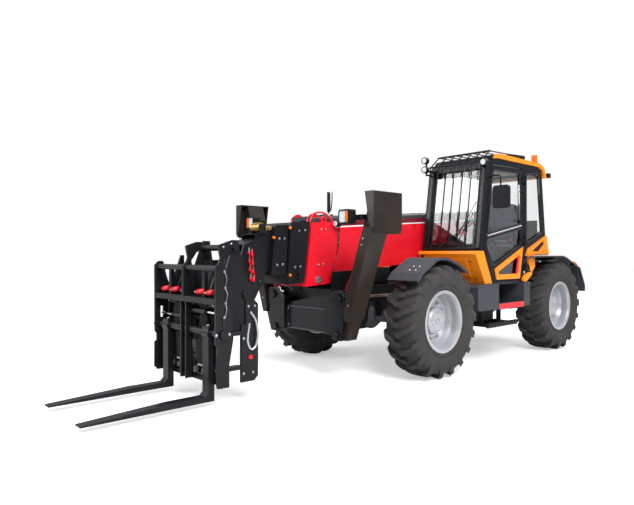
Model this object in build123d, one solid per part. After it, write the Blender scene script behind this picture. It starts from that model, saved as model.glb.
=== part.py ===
from build123d import *
import os
from math import asin, atan2, cos, degrees, hypot, pi, radians, sin, sqrt, tan

# Telescopic handler, four-section boom, pallet forks, two front stabilisers.
# Millimetres. +X is the machine's left, +Y its rear, +Z up.
# The origin is on the ground, in the centre plane, under the front axle.

# ---- driving dimensions ---------------------------------------------------
wheelbase = 2700
track_half = 975            # wheel centre plane from the centre plane
tyre_r = 600                # to the lugs' tips
tyre_w = 400
axle_z = tyre_r             # the lowest lug stands on the ground

ride = 2 * (tyre_r - 600)   # the body stands higher on larger tyres

kingpin_x = 800

boom_pivot_y = 2950
boom_pivot_z = 1625
boom_slope = 3.8            # the front of the boom lies lower
boom_w = 400
boom_h = 556

fork_reach_y = -3470        # fork tips
rear_y = 3470               # rearmost edge of the machine
running = 0.3               # gap where a moving piece is seated
clear = 6                   # gap where moving pieces pass


# ---- helpers --------------------------------------------------------------
def block(x, y, z):
    """Box between (low, high) pairs."""
    centre = Pos((x[0] + x[1]) / 2, (y[0] + y[1]) / 2, (z[0] + z[1]) / 2)
    return centre * Box(x[1] - x[0], y[1] - y[0], z[1] - z[0])


def bar_x(r, x, y, z):
    """Round bar along X, x = (from, to)."""
    return Pos((x[0] + x[1]) / 2, y, z) * Rot(0, 90, 0) * Cylinder(r, x[1] - x[0])


def bar_y(r, x, y, z):
    """Round bar along Y, y = (from, to)."""
    return Pos(x, (y[0] + y[1]) / 2, z) * Rot(90, 0, 0) * Cylinder(r, y[1] - y[0])


def bar_z(r, x, y, z):
    """Round bar along Z, z = (from, to)."""
    return Pos(x, y, (z[0] + z[1]) / 2) * Cylinder(r, z[1] - z[0])


def outline(points, r=0):
    """Closed polygon, its corners rounded by r."""
    shape = Polygon(*points, align=None)
    return fillet(shape.vertices(), r) if r else shape


def plate_yz(points, x, r=0):
    """Plate with a (y, z) outline between x = (low, high)."""
    return extrude(Plane.YZ.offset(x[0]) * outline(points, r), amount=x[1] - x[0], dir=(1, 0, 0))


def plate_xz(points, y, r=0):
    """Plate with an (x, z) outline between y = (low, high)."""
    return extrude(Plane.XZ.offset(-y[1]) * outline(points, r), amount=y[1] - y[0], dir=(0, -1, 0))


def plate_xy(points, z, r=0):
    """Plate with an (x, y) outline between z = (low, high)."""
    return extrude(Plane.XY.offset(z[0]) * outline(points, r), amount=z[1] - z[0], dir=(0, 0, 1))


def strut(p, q, r):
    """Round bar from point p to point q."""
    p, q = Vector(*p), Vector(*q)
    plane = Plane(origin=p, z_dir=q - p)
    return extrude(plane * Circle(r), amount=(q - p).length)


def tube_path(points, r, bend):
    """Round bar along straight runs with bends of one radius."""
    path = FilletPolyline(*points, radius=bend)
    start = Plane(origin=path @ 0, z_dir=path % 0)
    return sweep(start * Circle(r), path=path)


def ring_x(profile):
    """Body of revolution about X from (x, radius) points."""
    return revolve(Plane.XY * Polygon(*profile, align=None), axis=Axis.X)


def right(shape):
    """Mirror image on the machine's right side."""
    return mirror(shape, about=Plane.YZ)


def save(name, *pieces, up=ride):
    """Body pieces are drawn for 600 mm wheels and raised by the ride height."""
    solids = [s for piece in pieces for s in (Pos(0, 0, up) * piece).solids()]
    result = solids[0] if len(solids) == 1 else Compound(children=solids)
    export_step(result, os.path.join("parts", name + ".step"))


# ---- wheels ---------------------------------------------------------------
lug_count = 18              # on each side of the tread
lug_h = 30
rim_r = 306                 # bead seat
flange_r = 330
rim_half = 165
disc_x = -25                # wheel disc, from the wheel's centre plane
hub_r = 150
hub_out = 80                # outer face of the hub, from the centre plane


def tyre():
    """Carcass of flat facets with two rows of slanting lugs, staggered by half a pitch."""
    half = tyre_w / 2
    tread = tyre_r - lug_h
    bead = rim_half - 13
    right_half = [(half - 48, tread), (half - 8, tread - 50), (half, tread - 125),
                  (half - 14, flange_r + 40), (bead, flange_r + 6), (bead, rim_r + 4)]
    section = right_half + [(-x, r) for x, r in reversed(right_half)]
    step = 180 / lug_count
    reach = tan(radians(step / 2))
    slab = plate_xz(section, (-tyre_r * reach, tyre_r * reach))
    wedge = plate_yz([(0, 0), (-700 * reach, 700), (700 * reach, 700)], (-half - 1, half + 1))
    sector = slab & wedge
    ring = sector.fuse(*[Rot(step * i, 0, 0) * sector for i in range(1, 2 * lug_count)])
    # one lug: footprint (x, y) on the crown, profile (x, z) across the tread
    reach_y = 63
    foot = [(-14, -55), (46, -reach_y), (half + 4, 15), (half + 4, reach_y), (50, -3), (-14, -3)]
    crown = sqrt(tyre_r ** 2 - reach_y ** 2)
    profile = [(-14, tread - 12), (-14, crown), (half - 52, crown), (half - 4, crown - 34), (half - 4, tread - 112)]
    lug = plate_xy(foot, (tread - 120, tyre_r)) & plate_xz(profile, (-120, 120))
    lug = Rot(degrees(asin(reach_y / tyre_r)), 0, 0) * lug
    lugs = []
    for i in range(lug_count):
        lugs.append(Rot(2 * step * i, 0, 0) * lug)
        lugs.append(Rot(2 * step * i + step, 0, 0) * mirror(lug, about=Plane.YZ))
    return ring.fuse(*lugs)


def rim():
    lip = 12
    profile = [(-rim_half, flange_r), (-rim_half + lip, flange_r), (-rim_half + lip, rim_r),
               (rim_half - lip, rim_r), (rim_half - lip, flange_r), (rim_half, flange_r),
               (rim_half, 296), (rim_half - 30, 286), (60, 284), (disc_x + 30, 262),
               (disc_x + 14, 180), (disc_x + 34, 176), (disc_x + 34, hub_r),
               (hub_out - 18, hub_r - 8), (hub_out, hub_r - 32), (hub_out, 0), (disc_x, 0),
               (disc_x, 200), (disc_x + 8, 270), (-rim_half, 292)]
    return ring_x(profile)


one_tyre = tyre()
one_rim = rim()
corners = (("front_left", 1, 0), ("front_right", -1, 0),
           ("rear_left", 1, wheelbase), ("rear_right", -1, wheelbase))
for corner, side, y in corners:
    turn = Rot(0, 0, 0) if side == 1 else Rot(0, 0, 180)
    place = Pos(side * track_half, y, axle_z) * turn
    save("tyre_" + corner, place * one_tyre, up=0)
    save("rim_" + corner, place * one_rim, up=0)


# ---- axles and knuckles ---------------------------------------------------
beam_r = 75
diff_end_r = 92             # end of the differential housing
saddle_w = 90               # half length of a saddle along the machine
boss_h = 115                # half height of the kingpin boss
boss_r = 52
web_x = kingpin_x + boss_r + 14


def axle(y):
    beam = bar_x(beam_r, (-kingpin_x + 150, kingpin_x - 150), y, axle_z)
    diff = Pos(0, y, axle_z) * ring_x([(-260, 0), (-260, diff_end_r), (-150, 170), (120, 170), (230, diff_end_r), (230, 0)])
    shape = beam + diff
    for s in (-1, 1):
        xs = sorted((s * (kingpin_x - 190), s * kingpin_x))
        shape += block(xs, (y - 42, y + 42), (axle_z - 68, axle_z + 68))
        shape += bar_z(boss_r, s * kingpin_x, y, (axle_z - boss_h, axle_z + boss_h))
    return shape


def knuckle(y, fender_arm):
    shape = bar_x(150, (web_x, web_x + 26), y, axle_z)
    shape += bar_x(112, (web_x, track_half + disc_x - running), y, axle_z)
    for s in (-1, 1):
        zs = sorted((axle_z + s * (boss_h + running), axle_z + s * (boss_h + 36)))
        shape += bar_z(64, kingpin_x, y, zs)
        shape += block((kingpin_x, web_x + 26), (y - 64, y + 64), zs)
    if fender_arm:
        z0 = axle_z + boss_h + running
        shape += block((fender_in - 45, kingpin_x), (y - 40, y + 40), (z0, z0 + 35))
        shape += block((fender_in - 45, fender_in - 30), (y - 60, y + 40), (z0, fender_top - fender_t - running))
        shape += block((fender_in - 45, fender_out - 90), (y - 60, y - 20), (fender_top - 40, fender_top - fender_t - running))
    return shape


# ---- fenders --------------------------------------------------------------
fender_in = 780
fender_out = 1172
fender_t = 8
fender_gap = 72             # over the lugs
fender_top = axle_z + tyre_r + fender_gap


def strip(points, t):
    """Closed outline of a folded sheet: points are its outer face, t its thickness."""
    inner = []
    for i, (y, z) in enumerate(points):
        y0, z0 = points[max(i - 1, 0)]
        y1, z1 = points[min(i + 1, len(points) - 1)]
        run = hypot(y1 - y0, z1 - z0)
        inner.append((y + t * (z1 - z0) / run, z - t * (y1 - y0) / run))
    return points + inner[::-1]


def round_wheel(points, y):
    """Fender line from points about the wheel's centre, drawn for a 600 mm wheel."""
    k = (tyre_r + fender_gap) / 672
    return [(y + k * dy, axle_z + k * dz) for dy, dz in points]


front_fender_line = round_wheel([(-500, 445), (-430, 520), (-190, 655), (-140, 672), (0, 672), (60, 662),
                                 (250, 600), (410, 510)], 0)
rear_fender_line = round_wheel([(40, 684), (140, 662), (585, 510), (750, 250), (750, 165)], wheelbase)
rear_top = rear_fender_line[0][1]
cab_tail_y = 1900           # front edge of the rear fenders, behind the cab's sill
rear_fender_line = [(cab_tail_y, rear_top - 22), (cab_tail_y + 60, rear_top)] + rear_fender_line


def fender(line, lip):
    sheet = plate_yz(strip(line, fender_t), (fender_in, fender_out))
    return sheet + plate_yz(strip(line, lip), (fender_out - fender_t, fender_out))


save("axles", axle(0), axle(wheelbase), up=0)
save("knuckle_front_left", knuckle(0, True), up=0)
save("knuckle_front_right", right(knuckle(0, True)), up=0)
save("knuckle_rear_left", knuckle(wheelbase, False), up=0)
save("knuckle_rear_right", right(knuckle(wheelbase, False)), up=0)
front_fender = fender(front_fender_line, 26)
rear_fender = fender(rear_fender_line, 18)
save("fender_front_left", front_fender, up=0)
save("fender_front_right", right(front_fender), up=0)
save("fenders_rear", rear_fender, right(rear_fender), up=0)

# ---- stabilisers ----------------------------------------------------------
stab_pivot = (495, 486)     # (x, z) of the arm's pin
stab_eye = (536, 850)       # (x, z) of the cylinder's pin on the frame
stab_base = (960, 1600)     # (x, z) of the cylinder's pin in the arm
stab_base_r = 16
cheek_front = (-965, -940)  # y of the front cheek plate
cheek_back = (-785, -760)
stab_pin_r = 28
sole_x = (1090, 1122)
arm_y = (-990, -765)
ram_y = (cheek_front[1] + cheek_back[0]) / 2     # the cylinder's plane
arm_wall = 10
lug_y = (cheek_front[1] + clear, cheek_back[0] - clear)


def stabiliser_arm():
    """U-shaped arm, open towards the machine, with its foot standing upright."""
    px, pz = stab_pivot
    beam = [(632, 700), (661, 850), (804, 1296), (912, 1600), (1012, 1895), (1090, 1895), (1090, 1560),
            (1030, 1540), (930, 1297), (700, 640)]
    shape = plate_xz(beam, arm_y)
    core = [(560, 600), (600, 850), (700, 1296), (850, 1700), (925, 1740), (1018, 1640), (1014, 1540),
            (915, 1297), (690, 672), (660, 600)]
    shape -= plate_xz(core, (arm_y[0] + arm_wall, arm_y[1] - arm_wall))
    toe = [(px - 52, pz - 30), (px - 20, pz - 56), (px + 130, pz - 50), (700, 640), (728, 716), (632, 700),
           (px + 60, pz + 110), (px - 52, pz + 20)]
    shape += plate_xz(toe, lug_y)
    shape += plate_xz([(632, 700), (728, 716), (700, 640), (650, 640)], arm_y)
    # foot: sole, top plate and gussets
    sole = plate_yz([(-1085, 1500), (-675, 1500), (-675, 1900), (-1085, 1900)], sole_x)
    sole = fillet(sole.edges().filter_by(Axis.X).group_by(Axis.Z)[0], 60)
    shape += sole
    shape += block((1012, 1090), (-1085, -675), (1883, 1895))
    for y in (-1085, -687):
        shape += plate_xz([(1012, 1895), (1090, 1895), (1090, 1560), (1060, 1600)], (y, y + 12))
    shape += bar_y(stab_base_r, stab_base[0], arm_y, stab_base[1])
    shape -= bar_y(stab_pin_r + running, px, (-1000, -700), pz)
    return shape


left_arm = stabiliser_arm()
save("stabiliser_arm_left", left_arm)
save("stabiliser_arm_right", right(left_arm))


def headlamp():
    shape = block((700, 850), (-1125, -1035), (1602, 1742))
    shape = fillet(shape.edges().filter_by(Axis.Y), 18)
    shape += block((800, 940), (-1035, arm_y[0] - running), (1640, 1690))
    return shape


save("headlamps_left", headlamp())
save("headlamps_right", right(headlamp()))



def stabiliser_ram():
    """Barrel pinned in the arm and rod whose eye lies at the frame's pin."""
    (bx, bz), (ex, ez) = stab_base, stab_eye
    length = hypot(bx - ex, bz - ez)
    turn = degrees(atan2(ex - bx, ez - bz))
    place = Pos(bx, ram_y, bz) * Rot(0, turn, 0)
    barrel = bar_z(45, 0, 0, (30, length - 90))
    barrel += bar_y(42, 0, (-26, 26), 0) + bar_z(38, 0, 0, (0, 40))
    barrel -= bar_y(stab_base_r + running, 0, (-50, 50), 0)
    barrel -= bar_z(26, 0, 0, (70, length - 130)) + bar_z(22 + running, 0, 0, (60, length))
    stem = bar_z(22, 0, 0, (110, length - 20))
    stem += bar_y(40, 0, (-26, 26), length)
    return place * barrel, place * stem


ram_barrel, ram_rod = stabiliser_ram()
save("stabiliser_barrel_left", ram_barrel)
save("stabiliser_barrel_right", right(ram_barrel))
save("stabiliser_rod_left", ram_rod)
save("stabiliser_rod_right", right(ram_rod))

# ---- chassis --------------------------------------------------------------
rail_x = (230, 260)
rail_front = -760
rail_back = 3330
rail_low = 470
bumper_y = 3370             # back face of the rear bumper
lift_base = (2900, 885)     # (y, z) of the lift cylinder's base pin
lift_base_r = 32
lift_eye = (1450, 1140)     # (y, z) of its pin under the boom, boom down
boom_pin_r = 50
cab_floor_z = 958
step_y = (1180, wheelbase - 910)
step_x = (760, 1092)
step_end_y = wheelbase - 750
axle_mid = axle_z - ride    # height of the axles in the body's own frame
arm_ys = (900, wheelbase - 920)


def rails():
    """Two side plates with an arch over each axle and the boom's tower behind."""
    top = 950
    arch = axle_mid + 175
    line = [(rail_front, rail_low), (-260, rail_low), (-190, arch), (190, arch), (260, rail_low),
            (wheelbase - 260, rail_low), (wheelbase - 190, arch), (wheelbase + 190, arch),
            (wheelbase + 260, rail_low), (rail_back, rail_low), (rail_back, top), (3190, 1010), (3080, 1700),
            (3010, 1760), (2890, 1760), (2820, 1700), (2560, 1080), (2300, top), (-300, top), (rail_front, 900)]
    side = plate_yz(line, rail_x) - bar_x(boom_pin_r + running, (0, 400), boom_pivot_y, boom_pivot_z)
    return side, right(side)


def cross_members():
    """Plates, tubes, saddles and the boom pin that stand between the rails."""
    x_in = (-rail_x[0], rail_x[0])
    arch = axle_mid + 175
    pieces = [block(x_in, (300, wheelbase - 280), (rail_low, rail_low + 16)),
              block(x_in, (rail_back - 20, rail_back), (rail_low, 960)),
              block(x_in, (3180, 3200), (760, 1060)),
              bar_x(45, x_in, 700, 900), bar_x(45, x_in, 2200, 560), bar_x(60, x_in, -420, 860),
              bar_x(boom_pin_r, (-rail_x[1] - 20, rail_x[1] + 20), boom_pivot_y, boom_pivot_z)]
    for s in (-1, 1):
        pieces.append(block(x_in, (s * 205 - 12, s * 205 + 12), (axle_mid - 60, axle_mid + 200)))
    # saddles on the axle beams, under the rails' arches
    for y in (0, wheelbase):
        for s in (-1, 1):
            pad = block(sorted((s * 250, s * 330)), (y - saddle_w, y + saddle_w), (axle_mid, arch))
            pad -= bar_x(beam_r + running, (-400, 400), y, axle_mid)
            pieces.append(pad - bar_x(diff_end_r + 14, (-264, 264), y, axle_mid))
    # lift cylinder's base: ears, cross plate and pin, with the rear axle's cross plates
    base = block(x_in, (2780, 3000), (766, 782)) + bar_x(lift_base_r, (-104, 104), *lift_base)
    for s in (-1, 1):
        xs = sorted((s * 80, s * 104))
        base += plate_yz([(2830, 770), (2980, 770), (2950, 935), (2850, 935)], xs)
        y = wheelbase + s * 205
        base += block(x_in, (y - 12, y + 12), (axle_mid - 60, axle_mid + 200))
    return pieces + [base]


def stabiliser_frame():
    """Front cross frame with a pair of cheeks for each stabiliser arm."""
    wide = 338
    frame_w = 430
    shape = block((-wide, wide), (-913, -893), (477, 738))
    shape += block((-wide, wide), (-893, rail_front), (477, 495))
    shape += block((-frame_w, frame_w), (rail_front - 20, rail_front), (rail_low, 930))
    shape += plate_xz([(-335, 700), (335, 700), (335, 880), (290, 880), (-335, 765)], (-905, -893))
    cheek = [(wide, 477), (frame_w, 477), (450, 430), (575, 430), (606, 640), (622, 880), (590, 925),
             (470, 925), (360, 832), (wide, 832)]
    proud = cheek_front[0] - 14
    side = plate_xz(cheek, cheek_front) + plate_xz(cheek, cheek_back)
    side += block((wide, wide + 20), (cheek_front[0], cheek_back[1]), (477, 832))
    side += bar_y(stab_pin_r, stab_pivot[0], (proud, cheek_back[1]), stab_pivot[1])
    side += bar_y(34, stab_eye[0], (proud, ram_y - 26 - clear), stab_eye[1])
    side += bar_y(34, stab_eye[0], (ram_y + 26 + clear, cheek_back[1]), stab_eye[1])
    return shape + side + right(side)


def carrier_arms():
    """Arms on the rails' outer faces that carry the rear fenders, the cab and the engine housing."""
    pieces = []
    under = rear_top - fender_t - running - ride
    for s in (-1, 1):
        pieces.append(block(sorted((s * rail_x[1], s * (fender_out - 120))), (wheelbase - 20, wheelbase + 35),
                            (under - 48, under)))
    for y in arm_ys:
        pieces.append(block((rail_x[1], step_x[0] - running), (y, y + 80), (880, cab_floor_z - running)))
        pieces.append(block((-1000, -rail_x[1]), (y, y + 60), (640, tray_z - running)))
    return pieces


def rear_bumper():
    """Beam across the rails' ends with the tow jaw and the holes of its pin."""
    shape = block((-520, 520), (rail_back, bumper_y), (560, 900))
    for z in (600, 715):
        shape += block((-90, 90), (bumper_y, rear_y), (z, z + 25))
    return shape - bar_z(16, 0, 3425, (590, 750))


tray_z = 700                # underside of the engine tray
save("chassis_rails", *rails())
save("cross_members", *cross_members())
save("stabiliser_frame", stabiliser_frame())
save("carrier_arms", *carrier_arms())
save("rear_bumper", rear_bumper())

# ---- boom -----------------------------------------------------------------
# Boom pieces are drawn in the boom's own frame: origin at the pivot, -Y to the head.
boom_place = Pos(0, boom_pivot_y, boom_pivot_z) * Rot(boom_slope, 0, 0)
sections = (
    # name, half width, half height, wall, front y, rear y
    ("boom_outer", boom_w / 2, boom_h / 2, 10, -3990, 150),
    ("boom_section_2", 172, 248, 9, -4270, -260),
    ("boom_section_3", 147, 220, 9, -4450, -330),
    ("boom_section_4", 122, 193, 9, -4640, -400),
)
pad_gap = running


def hollow(w, h, wall, front, rear):
    shape = block((-w, w), (front, rear), (-h, h))
    return shape - block((-w + wall, w - wall), (front - 1, rear + 1), (-h + wall, h - wall))


def front_collar(w, outer, bore_w, bore_h):
    """Collar plate round the front end: (y, z) outline less the bore."""
    return plate_yz(outer, (-w, w)) - block((-bore_w, bore_w), (-6000, 0), (-bore_h, bore_h))


collars = (
    # outline of each front collar, from the boom's axis
    [(-3975, 278), (-3983, 240), (-4104, -384), (-3760, -384), (-3640, -270), (-3640, 278)],
    [(-4256, 290), (-4342, -338), (-4120, -338), (-4005, 240), (-3998, 290)],
    [(-4440, 268), (-4525, -226), (-4340, -226), (-4280, 268)],
)
# sight hole over the adjusting screw, in the second collar's cheeks
sight_y = (-4262, -4192)
sight_z = (-312, -236)
boom_pieces = []
for i, (name, w, h, wall, front, rear) in enumerate(sections):
    body = hollow(w, h, wall, front, rear)
    if i < 3:
        _, w2, h2, _, _, _ = sections[i + 1]
        bore_w, bore_h = w2 + pad_gap, h2 + pad_gap
        outer_w = (212, 208, 190)[i]
        body += front_collar(outer_w, collars[i], bore_w, bore_h)
        if i == 1:
            for side in (-1, 1):
                body -= block(sorted((side * (outer_w - 14), side * (outer_w + 1))), sight_y, sight_z)
    if i:
        # rear guide pads ride on the sliding section
        _, w0, h0, wall0, _, _ = sections[i - 1]
        for s in (-1, 1):
            xs = sorted((s * (w - 1), s * (w0 - wall0 - pad_gap)))
            body += block(xs, (rear - 160, rear), (-h * 0.7, h * 0.7))
            zs = sorted((s * (h - 1), s * (h0 - wall0 - pad_gap)))
            body += block((-w * 0.6, w * 0.6), (rear - 160, rear), zs)
    boom_pieces.append(body)

# pivot bosses, lift ears
outer = boom_pieces[0]
outer += bar_x(95, (-boom_w / 2 - 24, boom_w / 2 + 24), 0, 0)
outer -= bar_x(boom_pin_r + running, (-400, 400), 0, 0)
ear_y, ear_z = lift_eye[0] - boom_pivot_y, lift_eye[1] - boom_pivot_z
a = radians(boom_slope)
ear_y, ear_z = ear_y * cos(a) + ear_z * sin(a), -ear_y * sin(a) + ear_z * cos(a)
for s in (-1, 1):
    xs = sorted((s * 66, s * 92))
    outer += plate_yz([(ear_y - 110, -boom_h / 2 + 2), (ear_y + 110, -boom_h / 2 + 2), (ear_y + 45, ear_z - 50),
                       (ear_y - 45, ear_z - 50)], xs)
    xs = sorted((s * (56 + clear), s * 92))
    outer += bar_x(38, xs, ear_y, ear_z)
boom_pieces[0] = outer

# head: two cheek plates that reach down to the carriage pin
hitch_x = (236, 262)
tilt_pivot = (-1907, 929)   # (y, z)
tilt_pin_r = 32
tilt_base = (-1250, 1360)   # (y, z) of the tilt cylinder's pin in the last section
tilt_base_r = 16
tilt_eye = (-1985, 1215)    # (y, z) of its eye at the hitch
head = [(-1566, 1490), (-1610, 1490), (-1840, 1405), (-1880, 1290), (-1962, 950), (-1950, 885), (-1880, 868),
        (-1740, 830), (-1640, 1005), (-1586, 1120)]
head_x = (121, 145)
head_side = plate_yz(head, head_x)
head_shape = head_side + right(head_side)
head_shape += plate_yz([(-1600, 1494), (-1840, 1405), (-1836, 1393), (-1596, 1482)], (-head_x[1], head_x[1]))
head_shape += bar_x(tilt_pin_r, (-hitch_x[1] - 8, hitch_x[1] + 8), *tilt_pivot)
head_shape += bar_x(24, (-140, 140), -1640, 1030)

for (name, *_), body in zip(sections, boom_pieces):
    if name == "boom_section_4":
        # slot in the bottom plate that the tilt cylinder swings into
        body -= block((-64, 64), (-4641, -4400), (-200, -180))
    body = boom_place * body
    if name == "boom_section_4":
        body += head_shape
        body += bar_x(tilt_base_r, (-118, 118), *tilt_base)
    save(name, body)
cover = block((-150, 150), (-3960, -300), (boom_h / 2 + running, boom_h / 2 + 70))
cover = chamfer(cover.edges().filter_by(Axis.Y).group_by(Axis.Z)[-1], 25)
save("boom_cover", boom_place * cover)

# lift cylinder
def cylinder_yz(base, eye, barrel_r, rod_r, eye_r, eye_w):
    (by, bz), (ey, ez) = base, eye
    length = hypot(by - ey, bz - ez)
    turn = degrees(atan2(-(ey - by), ez - bz))
    place = Pos(0, by, bz) * Rot(turn, 0, 0)
    barrel = bar_z(barrel_r, 0, 0, (eye_r * 0.7, length - 140)) + bar_x(eye_r, (-eye_w, eye_w), 0, 0)
    barrel -= bar_z(rod_r + 5, 0, 0, (120, length - 190)) + bar_z(rod_r + running, 0, 0, (110, length))
    stem = bar_z(rod_r, 0, 0, (200, length - eye_r * 0.6)) + bar_x(eye_r, (-eye_w, eye_w), 0, length)
    return place * barrel, place * stem


lift_barrel, lift_rod = cylinder_yz(lift_base, lift_eye, 70, 45, 62, 56)
lift_barrel -= bar_x(lift_base_r + running, (-200, 200), *lift_base)
save("lift_barrel", lift_barrel)
save("lift_rod", lift_rod)

# ---- carriage -------------------------------------------------------------
hook_bar = (-2060, 1370)    # (y, z) of the quick hitch's top bar
hook_r = 30
fork_x = 366
fork_w = 100
fork_t = 48
shaft_z = 630
shaft_y = -2350


def hitch():
    side = [(-2060, 1440), (-1990, 1440), (-1950, 1200), (-1850, 980), (-1850, 870), (-1935, 600), (-2110, 560),
            (-2165, 700), (-2165, 1160)]
    shape = plate_yz(side, hitch_x)
    shape += right(shape)
    shape -= bar_x(tilt_pin_r + running, (-400, 400), *tilt_pivot)
    x_in = (-hitch_x[1], hitch_x[1])
    shape += bar_x(hook_r, (-318, 318), *hook_bar)
    shape += bar_x(30, x_in, -2090, 640)
    shape += block(x_in, (-2165, -2149), (720, 1150))
    for xs in ((-52, -34), (34, 52)):
        shape += plate_yz([(-2150, 1100), (-2150, 1255), (-1975, 1255), (-1945, 1215), (-1975, 1175)], xs)
    return shape


save("quick_hitch", hitch())


def fork_frame():
    top_tube = (-2380, 1190)
    side = [(-2420, 560), (-2420, 1205), (-2382, 1243), (-2335, 1243), (-2300, 1100), (-2262, 1000), (-2255, 560),
            (-2285, 520), (-2285, 180), (-2400, 180), (-2400, 530)]
    shape = None
    for x in ((-565, -540), (540, 565)):
        one = plate_yz(side, x, 12)
        shape = one if shape is None else shape + one
    for s in (-1, 1):
        shape -= block(sorted((s * 530, s * 570)), (-2362, -2332), (690, 800))     # slot over the shaft
    shape += bar_x(26, (-540, 540), *top_tube)
    shape += block((-540, 540), (-2418, -2330), (885, 935))          # cross beam
    shape += block((-540, 540), (-2335, -2287), (185, 225))          # bottom beam
    shape += bar_x(38, (-590, 590), shaft_y, shaft_z)                # fork shaft
    upright = [(-2420, 900), (-2420, 1205), (-2382, 1243), (-2340, 1243), (-2310, 1180), (-2300, 900)]
    shape += plate_yz(upright, (-16, 16), 10)
    for x in (-60, 30):
        shape += block((x, x + 16), (-2410, -2330), (190, 900))
    for x in (-350, 260):
        shape += block((x, x + 44), (-2372, -2336), (900, 1195))
    # back frame that hooks on to the quick hitch
    for x in ((-450, -425), (-305, -280), (280, 305), (425, 450)):
        shape += plate_yz([(-2330, 190), (-2330, 935), (-2200, 1300), (-2168, 1300), (-2168, 560), (-2240, 190)], x)
    # hooks over the quick hitch's top bar
    for x in ((-305, -280), (280, 305)):
        shape += plate_yz([(-2200, 1250), (-2230, 1390), (-2110, 1430), (-2040, 1430), (-2008, 1400), (-2008, 1345),
                           (-2110, 1330), (-2168, 1250)], x)
    shape -= bar_x(hook_r + running, (-400, 400), *hook_bar)
    shape -= block((-400, 400), (hook_bar[0] - hook_r, hook_bar[0] + hook_r), (1200, hook_bar[1]))
    # rear guard plates on their brackets
    guard_x = (485, 510)
    for s in (-1, 1):
        xs = sorted((s * guard_x[0], s * guard_x[1]))
        shape += plate_yz([(-2080, 900), (-1980, 900), (-1945, 865), (-1945, 600), (-2080, 600)], xs)
        shape += plate_yz([(-2125, 690), (-1960, 690), (-1945, 600), (-1945, 225), (-1985, 185), (-2125, 185)], xs)
        shape += block(sorted((s * 430, s * guard_x[1])), (-2256, -2070), (600, 640))
        shape += block(sorted((s * 430, s * guard_x[1])), (-2256, -2110), (300, 330))
    shape += block((-510, 510), (-2256, -2168), (600, 640))
    shape += block((-510, 510), (-2256, -2190), (880, 920))
    shape += block((-540, 540), (-2285, -2240), (560, 600))
    return shape


save("fork_frame", fork_frame())


def fork(x):
    """L-shaped fork hung on the shaft, its blade tapering to the tip."""
    y_face = -2400
    heel = [(y_face, shaft_z + 60), (y_face + 60, shaft_z + 60), (y_face + 60, 45), (fork_reach_y, 45),
            (fork_reach_y, 57), (y_face - 350, 93), (y_face - 30, 93), (y_face, 125)]
    shape = plate_yz(heel, (x - fork_w / 2, x + fork_w / 2))
    shape += bar_x(62, (x - fork_w / 2, x + fork_w / 2), shaft_y, shaft_z)
    shape -= bar_x(38 + running, (x - 100, x + 100), shaft_y, shaft_z)
    return shape


save("forks", fork(-fork_x), fork(fork_x))

# ---- cab ------------------------------------------------------------------
cab_x = (240, 1050)
cab_wall = 40
pane = 6
cab_side = [(1094, 958), (905, 1349), (830, 1353), (975, 2365), (1060, 2440), (1200, 2462), (2230, 2462),
            (2345, 2425), (2455, 1560), (2540, 1292), (1896, 1292), (1838, 958)]
door_side = [(905, 1372), (1052, 2300), (1115, 2372), (1800, 2392), (1836, 2360), (1848, 1400), (1770, 985),
             (1135, 985), (925, 1349)]
door_gap = 8
hinge = (1064, 1872)        # (x, y) of the door's hinge line
hinge_z = (1480, 2250)


def grow(points, by):
    """Outline moved outwards by a distance."""
    return offset(outline(points), by, kind=Kind.INTERSECTION)


def sheet_yz(face, x):
    return extrude(Plane.YZ.offset(x[0]) * face, amount=x[1] - x[0], dir=(1, 0, 0))


windows_left = [(1925, 1440), (1925, 2350), (2215, 2370), (2290, 2330), (2385, 1600)]
windows_right = [(960, 1440), (1090, 2330), (1160, 2370), (2215, 2370), (2290, 2330), (2385, 1600), (2300, 1440)]


def cab_shell():
    shape = plate_yz(cab_side, cab_x)
    room = grow(cab_side, -cab_wall)
    shape -= sheet_yz(room, (cab_x[0] + cab_wall, cab_x[1] - cab_wall))
    shape -= sheet_yz(grow(door_side, door_gap), (cab_x[1] - cab_wall - 1, cab_x[1] + 1))
    shape -= plate_yz(windows_left, (cab_x[1] - cab_wall - 1, cab_x[1] + 1))
    shape -= plate_yz(windows_right, (cab_x[0] - 1, cab_x[0] + cab_wall + 1))
    span = (cab_x[0] + 55, cab_x[1] - 55)
    shape -= block(span, (700, 1080), (1410, 2330))             # windscreen
    shape -= block(span, (1180, 2150), (2380, 2500))            # roof light
    shape -= block(span, (2250, 2600), (1600, 2370))            # rear window
    for z in hinge_z:
        for zs in ((z - 62, z - 40 - running), (z + 40 + running, z + 62)):
            shape += bar_z(10, *hinge, zs)
            shape += block((cab_x[1] - 1, hinge[0]), (1864, 1892), zs)
    return shape


save("cab_shell", cab_shell())


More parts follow.
